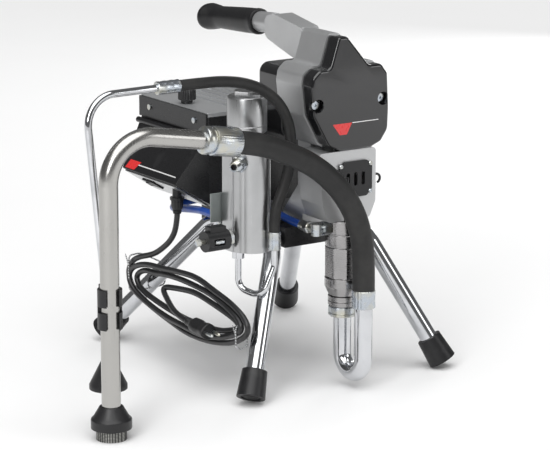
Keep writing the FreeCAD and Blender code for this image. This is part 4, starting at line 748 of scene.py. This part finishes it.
def ferrules():
    """Swaged ends of the suction, return and high-pressure hoses."""
    collar_profile = [(13.6, 0), (15.8, 0.8), (16.4, 2.2), (16.4, 8.2), (15.8, 9.6), (14.6, 10.4)]
    crimp_profile = [(15.0, 0), (16.9, 0.9), (17.2, 2.2), (17.2, 33.4), (16.6, 34.6), (14.6, 35.1)]
    nut_profile = [(6.6, 0), (7.4, 0.5), (7.4, 7.5), (6.6, 8)]
    back = (0, 1, 0)
    collar_start = ARM_END - SUCTION_ARM * 6
    meshes = [
        turned_mesh("lower", crimped(22, 14.4, 1, 0.35), (0, -205, 105), UP, 96, flute(24, 0.5)),
        turned_mesh("collar", collar_profile, collar_start, SUCTION_ARM, 96),
        turned_mesh("waist", [(14.6, 3), (14.6, 13)], collar_start, SUCTION_ARM, 64),
        turned_mesh("crimp", crimp_profile, ARM_END + SUCTION_ARM * 6, SUCTION_ARM, 144, flute(36, 0.3)),
        turned_mesh("drain_upper", crimped(30, 7.8, 3, 0.4), (-257, -156, 390), (1, 0, 0), 64, flute(8, 0.2)),
        turned_mesh("drain_lower", crimped(22, 7.8, 2, 0.4), (-88.5, -146, 176), UP, 64, flute(8, 0.2)),
        turned_mesh("whip_one", crimped(26, 6.6, 4, 0.4), (-119, -87.1, 206), back, 48),
        turned_mesh("whip_one_nut", nut_profile, (-119, -87, 206), back, 6),
        turned_mesh("whip_two", crimped(18, 6.6, 3, 0.4), (-39, -148.9, 197), back, 48),
        turned_mesh("whip_two_nut", nut_profile, (-39, -148.8, 197), back, 6),
    ]
    mesh = joined("ferrules_mesh", meshes, ["zinc"] * len(meshes))
    piece("hose_ferrules_turned", mesh, None, "hose_ferrules", smooth=28)


def outlet_nipple():
    """Threaded outlet with its hexagon and open bore, whose floor is a black disc of painted shade."""
    angle = math.radians(54)
    out = Vector((-math.sin(angle), -math.cos(angle), 0))
    start = Vector((MANIFOLD_X, MANIFOLD_Y, 281)) + out * 23.2
    pitch, crest, root = 1.25, 6.0, 5.45
    thread = [(crest, 11)]
    for k in range(7):
        thread += [(crest, 11.2 + pitch * k), (root, 11.2 + pitch * (k + 0.5))]
    thread += [(5.8, 20.2), (5.1, 21), (3.9, 21), (3.8, 14), (0.4, 13.8)]
    meshes = [
        turned_mesh("hexagon", [(8.8, 0), (9.9, 0.8), (9.9, 6.2), (8.8, 7)], start, out, 6),
        turned_mesh("tail", [(8.6, 6.5), (8.4, 7.6), (6.5, 10.8)] + thread, start, out, 48),
        # Painted shade: a black disc at the bottom of the bore stands in for the dark of the deep hole.
        turned_mesh("bore", [(3.7, 14.2), (3.7, 15)], start, out, 32),
    ]
    mesh = joined("outlet_mesh", meshes, ["zinc", "zinc", "moulded"])
    piece("threaded_outlet", mesh, None, "outlet_nipple", smooth=30)


def filter_cap():
    """Turned cap with a stepped top that takes a wrench."""
    base = (MANIFOLD_X, MANIFOLD_Y, 316.2)
    wall_profile = [(22.8, 0), (23.9, 1), (24, 2), (24, 8), (23.7, 8.5), (24, 9), (24, 40.5), (23.4, 42.2),
                    (22.2, 43), (17.2, 43), (16.8, 42.6), (16.8, 42.8)]
    top_profile = [(16.7, 42.4), (17, 43.2), (17, 48.4), (16, 49.3), (5.2, 49.3), (4.6, 48.9), (1, 48.6)]
    wall = turned_mesh("cap_wall", wall_profile, base, UP, 128)
    top = turned_mesh("cap_top", top_profile, base, UP, 6)
    mesh = joined("cap_mesh", [wall, top], ["turned", "turned"])
    piece("turned_filter_cap", mesh, None, "filter_cap", smooth=30)


def pump_barrel():
    """Ground pump cylinder with ring grooves and eight wrench flats, its swivel nut and foot valve."""
    flats_from, flats_to, across_flats = 24, 60, 41.2

    def flats(angle, radius, height):
        if radius <= 20 or not flats_from <= height <= flats_to:
            return 0.0
        step = math.pi / 4
        nearest = (angle + step / 2) % step - step / 2
        return min(0.0, across_flats / 2 / math.cos(nearest) - radius)

    barrel_profile = [
        (15.0, 0), (17.0, 0.6), (21.6, 10.5), (22, 12), (22, 22), (21.6, 22.5), (20.9, 23), (21.6, 23.5),
        (21.9, 24), (21.9, 59.8), (21.4, 60.3), (20.8, 61), (21.3, 61.8), (21.5, 62.5), (21.5, 76),
        (20.9, 76.6), (20.9, 77.8), (21.5, 78.4), (21.5, 92.8), (20.8, 93.6),
    ]
    nut_profile = [(15.6, 0), (16.8, 0.4), (17.4, 1.4), (17.4, 3.2), (16.6, 3.9), (17.4, 4.6), (17.4, 11.4),
                   (16.4, 12.6)]
    valve_profile = [(15.9, 0), (15.9, 1.1), (17.9, 1.3), (17.9, 5.5), (17.2, 6.1), (17.9, 6.7), (17.9, 12.4),
                     (16.8, 12.9)]
    barrel = turned_mesh("barrel", barrel_profile, (PUMP_X, PUMP_Y, 112), UP, 128, flats)
    piece("pump_barrel", barrel, "ground", "pump_cylinder", smooth=24)
    nut = turned_mesh("nut", nut_profile, (PUMP_X, PUMP_Y, 86), UP, 96, flute(12, 0.8))
    piece("knurled_swivel_nut", nut, "zinc", "swivel_nut", smooth=30)
    valve = turned_mesh("valve", valve_profile, (PUMP_X, PUMP_Y, 99), UP, 96)
    piece("foot_valve_ring", valve, "ground", "foot_valve")


def grip():
    """Moulded rubber grip with a lip at its front and a finger stop near its end, on the left."""
    drop = math.radians(4.0)
    along = Vector((0, math.cos(drop), -math.sin(drop)))
    start = Vector((-9, 1.8, 424)) + along * 1.5
    length, waist, steps = 118, 14.8, 12
    profile = [(9.6, 0), (15.4, 0.2), (16.1, 1.2), (16.3, 3), (16.3, 5.5), (15.9, 7.5)]
    profile += [(waist + 1.1 * math.cos(math.pi * k / 16), 8 + 84 * k / steps) for k in range(1, steps + 1)]
    profile += [(15.4, 97), (15.9, 102), (16.6, 107), (16.9, 110.5), (16.6, 113.5), (15.6, 115.8),
                (13.2, 117.3), (8, length), (1, length)]
    stop_side = math.radians(180)

    def finger_stop(angle, radius, height):
        swell = max(0.0, min(1.0, (height - 92) / 18)) ** 1.5 * (1 - max(0.0, height - 113) / 9)
        facing = max(0.0, math.cos(angle - stop_side)) ** 2
        return 4.6 * swell * facing * min(1.0, radius / 12)

    mesh = turned_mesh("grip", profile, start, along, 96, finger_stop)
    piece("rubber_grip", mesh, "boot", "handle_grip", smooth=50)


def pressure_knob():
    """Fluted knob on its collar, with a white pointer and its spindle."""
    base = (KNOB_X, KNOB_Y, KNOB_BASE)
    grip_profile = [(10.4, 4.2), (11.3, 5.2), (11.4, 6), (11.0, 16), (10.2, 17.2), (8.4, 17.3), (7.6, 16.9),
                    (1, 16.9)]

    def nine_flutes(angle, radius, height):
        return 0.9 * (abs(math.cos(9 * angle)) - 1) if radius > 9.5 else 0

    meshes = [
        turned_mesh("collar", [(7.0, 0), (7.5, 0.4), (7.5, 4.6)], base, UP, 64),
        turned_mesh("grip", grip_profile, base, UP, 120, nine_flutes),
        turned_mesh("mark", [(0.7, 0), (0.7, 3.5)], (KNOB_X, 33.2, 342.2), (0, 1, 0), 12),
        turned_mesh("spindle", [(3.8, 0), (3.8, 19)], (KNOB_X, KNOB_Y, 308.2), UP, 32),
    ]
    mesh = joined("knob_mesh", meshes, ["moulded", "moulded", "white", "steel"])
    piece("fluted_knob", mesh, None, "pressure_knob", "pressure_control", smooth=35)


def lever_pin():
    """The bright cross pin of the prime lever."""
    profile = [(2.0, 0), (2.5, 0.4), (2.5, 11.8), (2.0, 12.2)]
    pin = turned_mesh("pin", profile, (-145.1, -122.4, 189), (-1, 0, 0), 32)
    piece("lever_cross_pin", pin, "zinc", None, "prime_lever")


def cord_gland():
    """Strain relief with a ribbed nut and a flexing tail."""
    profile = [(3.9, 0), (4.8, 0.2), (5.2, 1.4), (4.5, 2), (5.6, 2.6), (5.6, 4.4), (4.9, 5), (6.3, 5.8),
               (6.6, 7.6), (7.4, 8.6), (7.5, 17), (8.9, 17.6), (8.9, 21), (6, 21.4), (5.7, 24), (5.7, 35.8)]

    def ribs(angle, radius, height):
        return 0.5 * (abs(math.cos(6 * angle)) - 1) if radius > 7 and height < 18 else 0

    mesh = turned_mesh("gland", profile, (-130, 6, 196), UP, 72, ribs)
    piece("ribbed_gland", mesh, "moulded", "cord_gland", smooth=34)


# ------------------------------------------------------------------ printed marks

def slab(name, corners, lift, look):
    """A thin printed shape: its corners, and how far and which way it stands up, in millimetres."""
    def build(work):
        low = [work.verts.new(Vector(p) * MM) for p in corners]
        high = [work.verts.new((Vector(p) + Vector(lift)) * MM) for p in corners]
        count = len(corners)
        work.faces.new(low[::-1])
        work.faces.new(high)
        for k in range(count):
            after = (k + 1) % count
            work.faces.new((low[k], low[after], high[after], high[k]))

    piece(name, mesh_from(name, build), look)


def marks():
    """Generic stripes and a red flash on the front cover and the controller's sloping panel."""
    face = -177.0
    raised = (0, -0.18, 0)
    stripe = [(2, 324.8), (40, 324.8), (40, 325.8), (2, 325.8)]
    flash = [(-26.5, 325.6), (1.5, 325.6), (-6, 312), (-16.4, 312)]
    slab("cover_line", [(x, face, z) for x, z in stripe], raised, "white")
    slab("cover_flash", [(x, face, z) for x, z in flash], raised, "red")
    top, low = Vector((-111.5, 0, 295.6)), Vector((-148, 0, 238))
    out = Vector((-0.845, 0, 0.535)) * 0.16

    def on_panel(across, down):
        spot = top.lerp(low, down)
        return (spot.x + out.x * 0.5, across, spot.z + out.z * 0.5)

    panel_stripe = [(-12, 0.85), (76, 0.85), (76, 0.87), (-12, 0.87)]
    panel_flash = [(80, 0.97), (101, 0.97), (97, 0.80), (72, 0.80)]
    slab("panel_line", [on_panel(*corner) for corner in panel_stripe], out, "white")
    slab("panel_flash", [on_panel(*corner) for corner in panel_flash], out, "red")


def screw_heads():
    """Round heads with a small socket at the rod cover's four corners."""
    profile = [(2.6, -0.3), (2.6, 0.4), (2.1, 1.0), (1.1, 1.2), (1.0, 0.6), (0.3, 0.5)]
    corners = [(x, -176.6, z) for z in (273, 239) for x in (-13.5, 29.5)]
    meshes = [turned_mesh("head", profile, corner, (0, -1, 0), 24) for corner in corners]
    piece("cover_plate_screws", joined("heads", meshes, ["zinc"] * len(meshes)), None)


# ------------------------------------------------------------------ assembly

def plain(node, look):
    """The CAD piece as it is, in its finish."""
    mesh = NODES[node].data
    mesh.materials.clear()
    mesh.materials.append(LOOK[look])
    smoothed(mesh, 32)


def main():
    """The whole scene, in a fixed order."""
    camera()
    studio()
    hoses()
    mains_lead()
    for node, look in PLAIN.items():
        plain(node, look)
    for node, (look, radius) in EASED.items():
        eased(node, look, radius)
    ferrules()
    outlet_nipple()
    filter_cap()
    pump_barrel()
    grip()
    pressure_knob()
    lever_pin()
    cord_gland()
    marks()
    screw_heads()


main()
